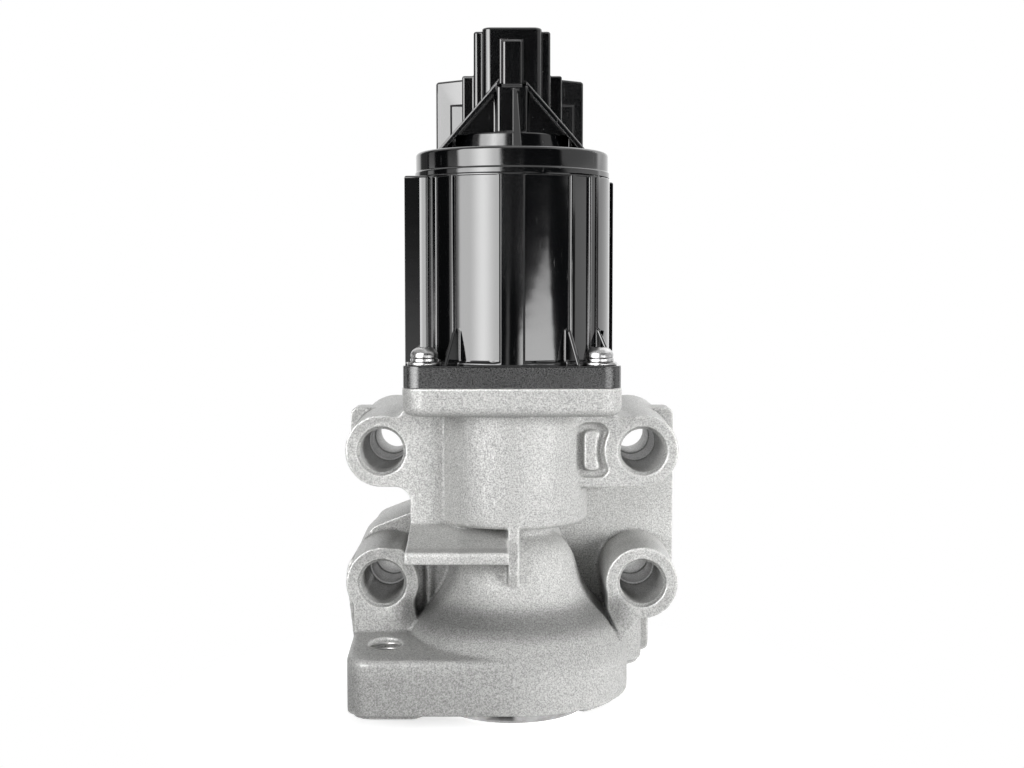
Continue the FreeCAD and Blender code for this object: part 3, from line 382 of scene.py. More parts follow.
def clouded(name, size, rough, span, colours, levels, relief, metallic=0.0):
    """A finish from one noise, size millimetres across and this rough.

    span is the part of the noise that turns the first colour into the second. levels are the surface's
    roughness at 0 and what the noise adds to it, relief is a depth in millimetres and a strength.
    """
    def build(nodes):
        cloud = nodes.noise(size * MM, 4.0, rough)
        return {"Base Color": nodes.blend(*colours, cloud.ramp(*span)),
                "Roughness": levels[0] + levels[1] * cloud,
                "Normal": nodes.bump(cloud, relief[0] * MM, relief[1])}

    return finish_of(name, build, Metallic=metallic)


def seal_rubber():
    return clouded("seal_rubber", 0.9, 0.7, (0.45, 0.7), (grey(0.012), grey(0.035)), (0.52, 0.2), (0.05, 0.4))


def natural_moulding():
    """Uncoloured moulding of the bobbins and the sensor's plunger."""
    colours = (0.62, 0.57, 0.46, 1.0), (0.80, 0.76, 0.66, 1.0)
    return clouded("natural_moulding", 3.0, 0.6, (0.3, 0.7), colours, (0.42, 0.16), (0.03, 0.3))


def tin_plate():
    """Tinned blades of the connector."""
    colours = (0.55, 0.54, 0.50, 1.0), (0.84, 0.83, 0.79, 1.0)
    return clouded("tin_plate", 0.8, 0.6, (0.3, 0.6), colours, (0.16, 0.2), (0.01, 0.3), metallic=1.0)


def spring_wire():
    """Drawn steel wire with patches of scale."""
    def build(nodes):
        draw = nodes.noise(0.25 * MM, 3.0, 0.6)
        scale = nodes.noise(3 * MM, 3.0, 0.6)
        colour = nodes.blend((0.20, 0.21, 0.23, 1.0), (0.52, 0.52, 0.53, 1.0), scale.ramp(0.3, 0.7))
        marks = nodes.bump(draw, 0.02 * MM, 0.3)
        return {"Base Color": colour, "Roughness": 0.26 + 0.18 * draw, "Normal": marks}

    return finish_of("spring_wire", build, Metallic=1.0)


def stacked_sheet(sheet=0.5):
    """Edges of thin stamped sheets, seen as fine level lines, sheet millimetres apart."""
    def build(nodes):
        z = nodes.axes()[2]
        line = abs((z * (1 / sheet)).fraction() - 0.5) * 2.0
        gap = line.ramp(0.82, 0.98)
        stain = nodes.noise(3 * MM, 4.0, 0.6)
        colour = nodes.blend(grey(0.34, 0.02), grey(0.08), gap * 0.9 + 0.25 * (stain - 0.4))
        joints = nodes.bump(1 - gap, 0.08 * MM, 0.7)
        return {"Base Color": colour, "Roughness": 0.42 + 0.3 * gap, "Normal": joints}

    return finish_of("stacked_sheet", build, Metallic=0.8)


def wound_copper(wire=0.45):
    """Enamelled wire, wound in level turns, wire millimetres apart."""
    def build(nodes):
        z = nodes.axes()[2]
        crown = abs((z * (math.pi / wire)).sine())
        enamel = nodes.noise(2 * MM, 3.0, 0.6)
        lit = crown.ramp(0.1, 0.7) * enamel.ramp(0.2, 0.5)
        colour = nodes.blend((0.18, 0.05, 0.02, 1.0), (0.78, 0.33, 0.14, 1.0), lit)
        turns = nodes.bump(crown, 0.2 * MM, 0.9)
        return {"Base Color": colour, "Roughness": 0.22 + 0.2 * (1 - crown), "Normal": turns}

    return finish_of("wound_copper", build, Metallic=0.75)


def bonded_magnet():
    """Dark magnet with paler flecks."""
    def build(nodes):
        flecks = nodes.cells(0.5 * MM).ramp(0.05, 0.4)
        colour = nodes.blend(grey(0.16), grey(0.06, 0.03), flecks)
        pits = nodes.bump(flecks, 0.03 * MM, 0.3)
        return {"Base Color": colour, "Roughness": 0.38 + 0.2 * flecks, "Normal": pits}

    return finish_of("bonded_magnet", build, Metallic=0.5)


# Mesh helpers


def new_piece(name, mesh, material, body, slot, *nodes):
    """Links a finished piece, gives it its material and lets it ride."""
    piece = bpy.data.objects.new(name, mesh)
    bpy.context.scene.collection.objects.link(piece)
    dress(piece, material)
    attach(piece, body)
    if nodes:
        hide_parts(*nodes)
    return piece


def dress(piece, material):
    """One material on every face."""
    piece.data.materials.clear()
    piece.data.materials.append(material)


def merged_copy(node, name, extra=()):
    """A copy of a CAD node with its doubles merged, ready for modifiers.

    extra holds boxes to add, each as two corners in millimetres.
    """
    mesh = SOLID[node].data.copy()
    mesh.name = name
    stored = mesh.attributes.get("custom_normal")
    if stored:
        mesh.attributes.remove(stored)
    work = bmesh.new()
    work.from_mesh(mesh)
    bmesh.ops.remove_doubles(work, verts=work.verts, dist=MERGE)
    for low, high in extra:
        size = Vector(high) - Vector(low)
        at = Matrix.Translation((Vector(high) + Vector(low)) / 2 * MM) @ Matrix.Diagonal((*(size * MM), 1.0))
        bmesh.ops.create_cube(work, size=1.0, matrix=at)
    work.to_mesh(mesh)
    work.free()
    mesh.materials.clear()
    piece = bpy.data.objects.new(name, mesh)
    bpy.context.scene.collection.objects.link(piece)
    return piece


def settled(piece):
    """The piece's mesh with all its modifiers applied; the piece itself goes."""
    graph = bpy.context.evaluated_depsgraph_get()
    mesh = bpy.data.meshes.new_from_object(piece.evaluated_get(graph))
    name = piece.name
    piece.modifiers.clear()
    bpy.data.objects.remove(piece)
    mesh.name = name
    return mesh


def smooth_faces(mesh, angle=None):
    """Shades a mesh smooth, with sharp edges where faces meet at more than an angle in degrees."""
    mesh.shade_smooth()
    if angle is not None:
        mesh.set_sharp_from_angle(angle=math.radians(angle))


def lathe(name, profile, segments=48):
    """Turns a closed profile of radius and height about Z; points at radius 0 become one pole."""
    work = bmesh.new()
    rings = []
    for radius, height in profile:
        if radius < 1e-9:
            rings.append([work.verts.new((0, 0, height))] * segments)
            continue
        turn = [2 * math.pi * i / segments for i in range(segments)]
        rings.append([work.verts.new((radius * math.cos(a), radius * math.sin(a), height)) for a in turn])
    for a, b in zip(rings, rings[1:] + rings[:1]):
        for i in range(segments):
            j = (i + 1) % segments
            corners = []
            for corner in (a[i], a[j], b[j], b[i]):
                if corner not in corners:
                    corners.append(corner)
            if len(corners) > 2:
                work.faces.new(corners)
    bmesh.ops.recalc_face_normals(work, faces=work.faces)
    mesh = bpy.data.meshes.new(name)
    work.to_mesh(mesh)
    work.free()
    return mesh


# Geometry Nodes


class Grower:
    """A Geometry Nodes tree on an empty mesh, with named inputs."""

    def __init__(self, name):
        self.tree = bpy.data.node_groups.new(name, "GeometryNodeTree")
        self.tree.interface.new_socket("Geometry", in_out="OUTPUT", socket_type="NodeSocketGeometry")
        self.given = {}
        self.start = None

    def inputs(self, **kinds):
        for name, kind in kinds.items():
            item = self.tree.interface.new_socket(name, in_out="INPUT", socket_type=kind)
            self.given[name] = item.identifier
        self.start = self.tree.nodes.new("NodeGroupInput")

    def add(self, kind, settings=None, inputs=None):
        node = self.tree.nodes.new(kind)
        for name, value in (settings or {}).items():
            setattr(node, name, value)
        for name, value in (inputs or {}).items():
            if isinstance(value, str):
                self.tree.links.new(self.start.outputs[value], node.inputs[name])
            elif isinstance(value, bpy.types.Node):
                self.tree.links.new(value.outputs[0], node.inputs[name])
            elif isinstance(value, bpy.types.NodeSocket):
                self.tree.links.new(value, node.inputs[name])
            else:
                node.inputs[name].default_value = value
        return node

    def grow(self, name, last, values, material):
        """Ends the tree, runs it and returns a plain mesh."""
        real = self.add("GeometryNodeRealizeInstances", inputs={"Geometry": last})
        painted = self.add("GeometryNodeSetMaterial", inputs={"Geometry": real, "Material": material})
        end = self.tree.nodes.new("NodeGroupOutput")
        self.tree.links.new(painted.outputs[0], end.inputs[0])
        holder = bpy.data.objects.new(name, bpy.data.meshes.new(name))
        bpy.context.scene.collection.objects.link(holder)
        modifier = holder.modifiers.new("grow", "NODES")
        modifier.node_group = self.tree
        for key, value in values.items():
            modifier[self.given[key]] = value
        return settled(holder)


def wire_coil(name, radius, wire, low, high, turns, material):
    """A coil spring between two heights, its wire swept along a spiral."""
    grower = Grower(name)
    grower.inputs(Radius="NodeSocketFloat", Wire="NodeSocketFloat", Height="NodeSocketFloat",
                  Turns="NodeSocketFloat", Low="NodeSocketFloat")
    spiral = grower.add("GeometryNodeCurveSpiral",
                        inputs={"Resolution": 48, "Rotations": "Turns", "Start Radius": "Radius",
                                "End Radius": "Radius", "Height": "Height"})
    ring = grower.add("GeometryNodeCurvePrimitiveCircle", inputs={"Resolution": 14, "Radius": "Wire"})
    swept = grower.add("GeometryNodeCurveToMesh",
                       inputs={"Curve": spiral, "Profile Curve": ring, "Fill Caps": True})
    up = grower.add("ShaderNodeCombineXYZ", inputs={"Z": "Low"})
    lifted = grower.add("GeometryNodeTransform", inputs={"Geometry": swept, "Translation": up})
    values = {"Radius": radius, "Wire": wire, "Height": high - low - 2 * wire, "Turns": turns,
              "Low": low + wire}
    mesh = grower.grow(name, lifted, values, material)
    smooth_faces(mesh, 50)
    return mesh


def at_corners(name, template, half, material):
    """Copies of a template mesh at the four screw places."""
    model = bpy.data.objects.new(name + "_template", template)
    grower = Grower(name)
    grower.inputs(Template="NodeSocketObject", Pitch="NodeSocketFloat")
    grid = grower.add("GeometryNodeMeshGrid",
                      inputs={"Size X": "Pitch", "Size Y": "Pitch", "Vertices X": 2, "Vertices Y": 2})
    info = grower.add("GeometryNodeObjectInfo", inputs={"Object": "Template"})
    set_out = grower.add("GeometryNodeInstanceOnPoints",
                         inputs={"Points": grid, "Instance": info.outputs["Geometry"]})
    mesh = grower.grow(name, set_out, {"Template": model, "Pitch": 2 * half}, material)
    bpy.data.objects.remove(model)
    return mesh


# Sizes and colours

WASHER_R = 4.4 * MM  # outer radius of a flat washer
LOCK_R = 3.6 * MM  # outer radius of a spring washer
WASHER_BORE = 2.2 * MM


class CastingSettings(bpy.types.PropertyGroup):
    voxel: FloatProperty(name="Skin Resolution", description="Edge length of the cast skin's mesh",
                         default=0.40 * MM, min=0.3 * MM, max=2 * MM, unit="LENGTH", precision=5)
    rounds: IntProperty(name="Edge Softening", description="Smoothing passes that round the cast edges",
                        default=2, min=0, max=40)
    soft_rounds: IntProperty(name="Shoulder Softening", default=9, min=0, max=80,
                             description="Smoothing passes for the shoulder over the flange")
    share: FloatProperty(name="Kept Triangles", description="Share of the skin's triangles that is kept",
                         default=0.18, min=0.05, max=1.0, subtype="FACTOR")
    tone: FloatVectorProperty(name="Aluminium", description="Colour of the blasted casting", subtype="COLOR",
                              size=3, default=(0.49, 0.49, 0.48), min=0, max=1)
    grain: FloatProperty(name="Grain", description="Size of the blasted grain", default=0.38 * MM,
                         min=0.05 * MM, max=3 * MM, unit="LENGTH", precision=5)


class PlasticSettings(bpy.types.PropertyGroup):
    bevel: FloatProperty(name="Edge Radius", description="Radius of the moulded edges", default=0.60 * MM,
                         min=0.02 * MM, max=1 * MM, unit="LENGTH", precision=5)
    colour: FloatVectorProperty(name="Plastic", description="Colour of the black moulding", subtype="COLOR",
                                size=3, default=(0.0020, 0.0022, 0.0025), min=0, max=1)


class FastenerSettings(bpy.types.PropertyGroup):
    half: FloatProperty(name="Half Pitch", description="From the valve axis to a screw along X or Y",
                        default=(WASHER_HIGH.x - WASHER_LOW.x) / 2 - WASHER_R, unit="LENGTH", precision=5)
    head: FloatProperty(name="Head Radius", description="Radius of a screw's head", default=3.5 * MM,
                        unit="LENGTH", precision=5)


class StageSettings(bpy.types.PropertyGroup):
    lens: FloatProperty(name="Lens", description="Focal length of the camera in millimetres",
                        default=50.0, min=10, max=300)
    distance: FloatProperty(name="Camera Distance", description="From the valve axis to the camera",
                            default=384 * MM, unit="LENGTH")
    height: FloatProperty(name="Camera Height", description="Height of the camera above the floor",
                          default=114.63 * MM, unit="LENGTH")
    pitch: FloatProperty(name="Camera Pitch", description="How far the camera looks down",
                         default=math.radians(4.06), subtype="ANGLE")


GROUPS = {"valve_casting": CastingSettings, "valve_plastic": PlasticSettings,
          "valve_fasteners": FastenerSettings, "valve_stage": StageSettings}


# Pieces


SHELF_FILLER = ((-28, -5, 22), (-13, -1, 45))  # wall under the shelf: two corners, in millimetres


def stays_soft(x, y, z):
    """Whether a point in millimetres is on the shoulder over the flange or in the upper right pocket."""
    shoulder = 19 < math.hypot(x, y) < 34 and y < 12 and 16.5 < z < 31
    pocket = x > 15.5 and y < -4 and 61 < z < 79.5
    return shoulder or pocket


class VALVE_OT_casting(bpy.types.Operator):
    """Builds the cast body's skin, with soft edges and fillets as a die casting has"""
    bl_idname = "valve.casting"
    bl_label = "Cast Body"

    def execute(self, context):
        settings = context.scene.valve_casting
        form = merged_copy("valve_body", "casting_form", [SHELF_FILLER])
        skin = form.modifiers.new("skin", "REMESH")
        skin.mode = "VOXEL"
        skin.voxel_size = settings.voxel
        piece = bpy.data.objects.new("casting", settled(form))
        context.scene.collection.objects.link(piece)
        soft = piece.vertex_groups.new(name="soft")
        for vertex in piece.data.vertices:
            if stays_soft(*(vertex.co / MM)):
                soft.add([vertex.index], 1.0, "REPLACE")
        for group, rounds in (("soft", settings.soft_rounds), ("", settings.rounds)):
            soften = piece.modifiers.new("soften", "SMOOTH")
            soften.factor = 0.5
            soften.iterations = rounds
            soften.vertex_group = group
        thin = piece.modifiers.new("thin", "DECIMATE")
        thin.ratio = settings.share
        mesh = settled(piece)
        smooth_faces(mesh)
        new_piece("casting", mesh, cast_aluminium(), "housing", "cast_aluminium", "valve_body")
        return {"FINISHED"}


FLAT = math.radians(0.6)  # faces that meet at less are one face
ROUNDED = math.radians(35)  # edges that turn by more get a radius
LESSER, UNDERNEATH, ROOM = 0.35, 0.12, 0.42  # shares of the full radius, and of the room beside an edge


def crisp_moulding(node, name, width, crisp, shape, cuts, strong):
    """A CAD node's form with small rounded edges, for a polished moulding.

    Edges that turn by more than crisp degrees are shaded sharp. cuts are planes that split the faces a chooser
    picks, shape moves points after that, and strong picks the edges that are rounded to the full width; the
    others get a share of it.
    """
    piece = merged_copy(node, name + "_form")
    work = bmesh.new()
    work.from_mesh(piece.data)
    bmesh.ops.dissolve_limit(work, angle_limit=FLAT, verts=work.verts, edges=work.edges)
    creases = []
    for place, direction, chosen in cuts:
        faces = [face for face in work.faces if chosen(face.calc_center_median())]
        edges = {edge for face in faces for edge in face.edges}
        verts = {vert for face in faces for vert in face.verts}
        made = bmesh.ops.bisect_plane(work, geom=list(verts) + list(edges) + faces, dist=MERGE,
                                      plane_co=place, plane_no=direction)
        creases += [item for item in made["geom_cut"] if isinstance(item, bmesh.types.BMEdge)]
    for vert in work.verts:
        shape(vert.co)
    weights = work.edges.layers.float.new("bevel_weight_edge")
    for edge in work.edges:
        angle = edge.calc_face_angle(0.0)
        edge.smooth = angle < math.radians(crisp) and edge not in creases
        if angle > ROUNDED:
            middle = middle_of(edge)
            share = 1.0 if strong(middle) else LESSER
            if min(face.normal.z for face in edge.link_faces) < -0.3:
                share = UNDERNEATH
            if middle.z > COVER_HIGH.z - 1.5 * MM and middle.y > 8 * MM:
                share = 0.0  # the socket's rear rim is too thin for a radius
            edge[weights] = min(share, ROOM * room_beside(edge) / width)
    for face in work.faces:
        face.smooth = True
    work.to_mesh(piece.data)
    work.free()
    edges = piece.modifiers.new("edges", "BEVEL")
    edges.width = width
    edges.segments = 3
    edges.limit_method = "WEIGHT"
    edges.use_clamp_overlap = False
    level = piece.modifiers.new("level", "WEIGHTED_NORMAL")
    level.keep_sharp = True
    mesh = settled(piece)
    mesh.name = name
    new_piece(name, mesh, moulded_black(), "housing", "black_plastic", node)


def middle_of(edge):
    return (edge.verts[0].co + edge.verts[1].co) / 2


def room_beside(edge):
    """Length of the shortest edge that leads away from an edge in the faces beside it."""
    along = (edge.verts[1].co - edge.verts[0].co).normalized()
    room = 1.0
    for loop in edge.link_loops:
        for other in (loop.link_loop_prev.edge, loop.link_loop_next.edge):
            line = other.verts[1].co - other.verts[0].co
            if line.length > MERGE and line.cross(along).length / line.length > 0.4:
                room = min(room, line.length)
    return room


STAY_SLOPE = 1.08  # rise over run of the sloping stays
BACK_WING = 13.6 * MM  # the back plate's wings start here on both sides
WING_SWEEP, WING_DROP = 0.2, 0.08  # how far a wing runs back, and down, for its length
FACE_HALF, FACE_Y, FACE_R = 7.8 * MM, -9.0 * MM, 1.2 * MM  # the connector's front face and its corners
FACE_R_MORE = 1.1 * MM  # what its corner radii grow by
KEEL_X, KEEL_Y, KEEL_H = 0.4 * MM, -14.2 * MM, 16 * MM  # left side, front and height of the keel


def on_back_plate(point):
    return point.y > 11.5 * MM and point.z > CONNECTOR_LOW + 0.3 * MM


def connector_shape(point):
    """Sweeps the back plate's wings back, widens the face's corner radii and tapers the keel."""
    wing = abs(point.x) - BACK_WING
    if wing > 0 and on_back_plate(point):
        point.y += wing * WING_SWEEP
        if point.z > COVER_HIGH.z - 12 * MM:
            point.z -= wing * WING_DROP
    centre_x, centre_y = FACE_HALF - FACE_R, FACE_Y + FACE_R
    out_x, out_y = abs(point.x) - centre_x, centre_y - point.y
    near = abs(math.hypot(out_x, out_y) - FACE_R) < 0.05 * MM
    if near and out_x > -MERGE and out_y > -MERGE and point.z > CONNECTOR_LOW + 6 * MM:
        inwards = FACE_R_MORE * (out_x / FACE_R - 1)
        point.x += math.copysign(1, point.x) * inwards
        point.y -= FACE_R_MORE * (out_y / FACE_R - 1)
        if point.z < COVER_HIGH.z - 3 * MM:
            point.z -= STAY_SLOPE * inwards
    if KEEL_X - 0.05 * MM < point.x < KEEL_X + 2.3 * MM and point.y < KEEL_Y:
        up = min(max((point.z - CONNECTOR_LOW) / KEEL_H, 0), 1)
        point.x = KEEL_X + (point.x - KEEL_X) * (0.9 - 0.6 * up)


def on_connector(point):
    return point.z > CONNECTOR_LOW + 5 * MM


def on_ribs(point):
    """Gussets, fins and panel sides of the motor case."""
    return point.z > CASE_LOW.z + 6 * MM and point.xy.length > 24.0 * MM


FAIRING_X = (22.0 * MM, 23.95 * MM)  # inner and outer end of the flats beside the fins
FAIRING_Y = (13.0 * MM, 14.0 * MM)  # between these they lie, on both sides


def on_fairing(point):
    return FAIRING_X[0] < abs(point.x) < FAIRING_X[1] and FAIRING_Y[0] < abs(point.y) < FAIRING_Y[1]


def fairing_shape(point):
    """Hollows the flat fairings between the case's wall and its two fins."""
    x, y = abs(point.x), abs(point.y)
    share = (x - FAIRING_X[0]) / (FAIRING_X[1] - FAIRING_X[0])
    beside = FAIRING_Y[0] - 0.1 * MM < y < FAIRING_Y[1] + 0.1 * MM
    if 0.02 < share < 0.98 and beside and point.x * point.y > 0:
        point.y -= math.copysign(0.10 * MM * (1 - (2 * share - 1) ** 2), point.y)


class VALVE_OT_mouldings(bpy.types.Operator):
    """Builds the motor case and the end cover as polished black mouldings"""
    bl_idname = "valve.mouldings"
    bl_label = "Motor Case and Cover"

    def execute(self, context):
        width = context.scene.valve_plastic.bevel
        low, high = FAIRING_X
        fairing_cuts = [((side * (low + (high - low) * i / 6), 0, 0), (1, 0, 0), on_fairing)
                        for side in (-1, 1) for i in range(1, 6)]
        crisp_moulding("motor_case", "case_moulding", width, 20, fairing_shape, fairing_cuts, on_ribs)
        wing_cuts = [((side * BACK_WING, 0, 0), (1, 0, 0), on_back_plate) for side in (-1, 1)]
        wing_cuts.append(((0, 0, CONNECTOR_LOW + 0.6 * MM), (0, 0, 1), on_back_plate))
        crisp_moulding("end_cover", "cover_moulding", width, 32, connector_shape, wing_cuts, on_connector)
        return {"FINISHED"}


CROSS_LONG, CROSS_WIDE, CROSS_DEEP = 4.2 * MM, 0.95 * MM, 1.4 * MM  # a screw's cross recess
CROSS_TAPER = 0.45  # its bottom against its mouth


def screw_mesh(head_r, low, seat, top):
    """A pan-head screw with a cross recess, from its tip to its crown."""
    shank = 1.95 * MM
    pitch = 0.7 * MM
    profile = [(0.0, low), (shank - 0.4 * MM, low)]
    height = low + 0.4 * MM
    while height < seat - pitch:
        profile += [(shank - 0.3 * MM, height), (shank, height + pitch / 2)]
        height += pitch
    profile += [(shank, seat), (head_r - 0.25 * MM, seat), (head_r, seat + 0.3 * MM)]
    rim = seat + 0.9 * MM
    steps = 9
    for i in range(steps + 1):
        up = math.sin(math.pi / 2 * i / steps)
        profile.append((head_r * (1 - 0.42 * up ** 2), rim + (top - rim) * up))
    profile.append((0.0, top))
    mesh = lathe("screw", profile, 40)
    body = bpy.data.objects.new("screw_form", mesh)
    bpy.context.scene.collection.objects.link(body)
    cutter = bmesh.new()
    tall = 3.0 * MM
    for size in ((CROSS_LONG, CROSS_WIDE, tall), (CROSS_WIDE, CROSS_LONG, tall)):
        made = bmesh.ops.create_cube(cutter, size=1.0)
        bmesh.ops.scale(cutter, vec=size, verts=made["verts"])
        bmesh.ops.translate(cutter, vec=(0, 0, top - CROSS_DEEP + tall / 2), verts=made["verts"])
        for vert in made["verts"]:
            if vert.co.z < top:
                vert.co.x *= CROSS_TAPER
                vert.co.y *= CROSS_TAPER
    cross = bpy.data.meshes.new("cross")
    cutter.to_mesh(cross)
    cutter.free()
    tool = bpy.data.objects.new("cross_form", cross)
    bpy.context.scene.collection.objects.link(tool)
    cut = body.modifiers.new("cut", "BOOLEAN")
    cut.object = tool
    cut.operation = "DIFFERENCE"
    cut.solver = "EXACT"
    cut.use_self = True
    done = settled(body)
    bpy.data.objects.remove(tool)
    smooth_faces(done, 38)
    return done


def lock_washer_mesh(inner, outer, low, high):
    """A split spring washer whose ends stand a little apart."""
    steps = 44
    gap = math.radians(7)  # half the split
    rise = 0.22 * MM  # from one end to the other
    thick = high - low - rise
    edge = 0.12 * MM
    work = bmesh.new()
    sections = []
    for i in range(steps + 1):
        share = i / steps
        angle = gap + share * (2 * math.pi - 2 * gap)
        z = low + rise * share
        corners = [(inner, z), (outer - edge, z), (outer, z + edge), (outer, z + thick - edge),
                   (outer - edge, z + thick), (inner, z + thick)]
        sections.append([work.verts.new((r * math.cos(angle), r * math.sin(angle), h)) for r, h in corners])
    count = len(sections[0])
    for a, b in zip(sections, sections[1:]):
        for i in range(count):
            j = (i + 1) % count
            work.faces.new((a[i], a[j], b[j], b[i]))
    work.faces.new(sections[0])
    work.faces.new(list(reversed(sections[-1])))
    bmesh.ops.recalc_face_normals(work, faces=work.faces)
    mesh = bpy.data.meshes.new("lock_washer")
    work.to_mesh(mesh)
    work.free()
    smooth_faces(mesh, 30)
    return mesh


def washer_mesh(inner, outer, low, high):
    """A flat washer with rolled edges."""
    edge = 0.18 * MM
    profile = [(inner, low), (outer - edge, low), (outer - edge * 0.3, low + edge * 0.3), (outer, low + edge),
               (outer, high - edge), (outer - edge * 0.3, high - edge * 0.3), (outer - edge, high), (inner, high)]
    mesh = lathe("washer", profile, 56)
    smooth_faces(mesh, 40)
    return mesh


class VALVE_OT_fasteners(bpy.types.Operator):
    """Sets the four screws with their spring and flat washers at the corners of the flange"""
    bl_idname = "valve.fasteners"
    bl_label = "Flange Screws"

    def execute(self, context):
        settings = context.scene.valve_fasteners
        metal = plated_zinc()
        screw = screw_mesh(settings.head, SCREW_LOW.z, LOCK_HIGH.z, SCREW_HIGH.z)
        lock_washer = lock_washer_mesh(WASHER_BORE, LOCK_R, LOCK_LOW.z, LOCK_HIGH.z)
        washer = washer_mesh(WASHER_BORE, WASHER_R, WASHER_LOW.z, WASHER_HIGH.z)
        for name, template, node in (("screws", screw, "flange_screws"),
                                     ("lock_washers", lock_washer, "spring_washers"),
                                     ("washers", washer, "flat_washers")):
            mesh = at_corners(name, template, settings.half, metal)
            new_piece(name, mesh, metal, "housing", "zinc_steel", node)
        return {"FINISHED"}


THREAD_R, THREAD_WIRE, THREAD_PITCH, THREAD_LOW = 4.35 * MM, 0.45 * MM, 1.5 * MM, 7.0 * MM
THREADS = {"front_thread": (-33.0 * MM, -18.5 * MM, 20.4 * MM),  # X, Y and top of each thread
           "rear_thread": (29.0 * MM, 30.0 * MM, 16.0 * MM)}


class VALVE_OT_threads(bpy.types.Operator):
    """Cuts the thread into the two screw holes of the inlet flange"""
    bl_idname = "valve.threads"
    bl_label = "Inlet Threads"

    def execute(self, context):
        metal = turned_steel("cut_aluminium", 0.72, 0.30, 0.3)
        for name, (x, y, top) in THREADS.items():
            turns = (top - THREAD_LOW) / THREAD_PITCH
            mesh = wire_coil(name, THREAD_R, THREAD_WIRE, THREAD_LOW, top, turns, metal)
            mesh.transform(Matrix.Translation((x, y, 0)))
            new_piece(name, mesh, metal, "housing", "cast_aluminium")
        return {"FINISHED"}


class VALVE_OT_springs(bpy.types.Operator):
    """Winds the return spring and the sensor's spring"""
    bl_idname = "valve.springs"
    bl_label = "Springs"

    def execute(self, context):
        steel = spring_wire()
        wire = 1.0 * MM
        radius = (SPRING_HIGH.x - SPRING_LOW.x) / 2 - wire
        mesh = wire_coil("valve_spring", radius, wire, SPRING_LOW.z, SPRING_HIGH.z, 4.5, steel)
        coil = new_piece("valve_spring", mesh, steel, "housing", "spring_steel", "return_spring")
        travel = next(j for j in frame["joints"] if j["name"] == "valve_slide")["range_m"][1]
        keep = 1 - travel / (SPRING_HIGH.z - SPRING_LOW.z)
        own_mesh(coil)
        fine = 0.25 * MM
        radius = (SENSOR_HIGH.x - SENSOR_LOW.x) / 2 - fine
        mesh = wire_coil("plunger_spring", radius, fine, SENSOR_LOW.z, SENSOR_HIGH.z, 8.0, steel)
        small = bpy.data.objects.new("plunger_spring", mesh)
        context.scene.collection.objects.link(small)
        dress(small, steel)
        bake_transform(small)
        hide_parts("sensor_spring")
        return {"FINISHED"}


class VALVE_OT_inner_parts(bpy.types.Operator):
    """Gives the metal and plastic parts inside their finishes"""
    bl_idname = "valve.inner_parts"
    bl_label = "Inner Parts"

    def execute(self, context):
        steel = turned_steel()
        polished = turned_steel("polished_steel", 0.80, 0.10, 0.05)
        finishes = {
            "inlet_ring": polished, "valve_disc": steel, "valve_stem": polished,
            "stem_guide": sintered_bronze(), "stem_seal": seal_rubber(),
            "spring_retainer": plated_zinc(), "stem_collets": steel,
            "motor_base_plate": plated_zinc(), "shaft_guide": sintered_bronze(),
            "stator_core": stacked_sheet(), "coil_bobbins": natural_moulding(),
            "coils": wound_copper(), "rotor_magnet": bonded_magnet(),
            "rotor_sleeve": steel, "drive_shaft": steel, "bearing_plate": plated_zinc(),
            "connector_terminals": tin_plate(), "sensor_plunger": natural_moulding(),
        }
        for place in ("lower", "upper"):
            for part in ("outer_ring", "inner_ring", "balls"):
                finishes[f"{place}_bearing_{part}"] = polished
        for node, material in finishes.items():
            dress(SOLID[node], material)
        return {"FINISHED"}


# Stage


def soft_boxes(turn, rise):
    """What polished surfaces mirror, by bearing from the front (right is positive) and rise, in degrees."""
    low = rise.ramp(3.9, 5.0, 1.0, 0.25)  # 1 for the case, less for the cap above it
    key = turn.window(-66, -14, 2.5) * rise.window(-40, 33, 6) * (5.8 + 3.6 * turn.window(-44, -26, 9))
    tail = turn.window(-81, -66, 1.5) * rise.window(-40, 33, 6) * 1.2 * low
    edge = turn.window(-116, -104, 1.5) * rise.window(-50, 60, 8) * 1.7 * low
    front = turn.window(-5.5, -2.8, 0.8) * rise.ramp(-4, 3, 0.8, 0.1)
    drop = (1.4 - rise).most(0)  # the wedge widens from its tip downwards
    wedge_left = 42.5 - drop * 10
    wedge_right = 44 + drop * 2
    wedge = (turn - wedge_left).ramp(-1.0, 1.6) * (wedge_right - turn).ramp(-1.2, 1.6)
    wedge = wedge * rise.window(-14, 1.4, 0.6) * turn.window(8, 70, 2) * rise.ramp(-1.8, 1.2, 5.4, 2.6)
    wider = rise.ramp(2, 6) * 20
    right = (turn - 78 + wider).ramp(-2, 2) * (turn - wider).ramp(107, 119, 1.0, 0.0)
    right = right * rise.window(-60, 60, 8) * (0.45 + 0.6 * low)
    behind = abs(turn).ramp(118, 126) * (1 - turn.window(-140, -120, 4) * 0.9) * 1.3
    above = rise.ramp(26, 44) * 0.75
    return 0.012 + key + tail + edge + front + wedge + right + behind + above


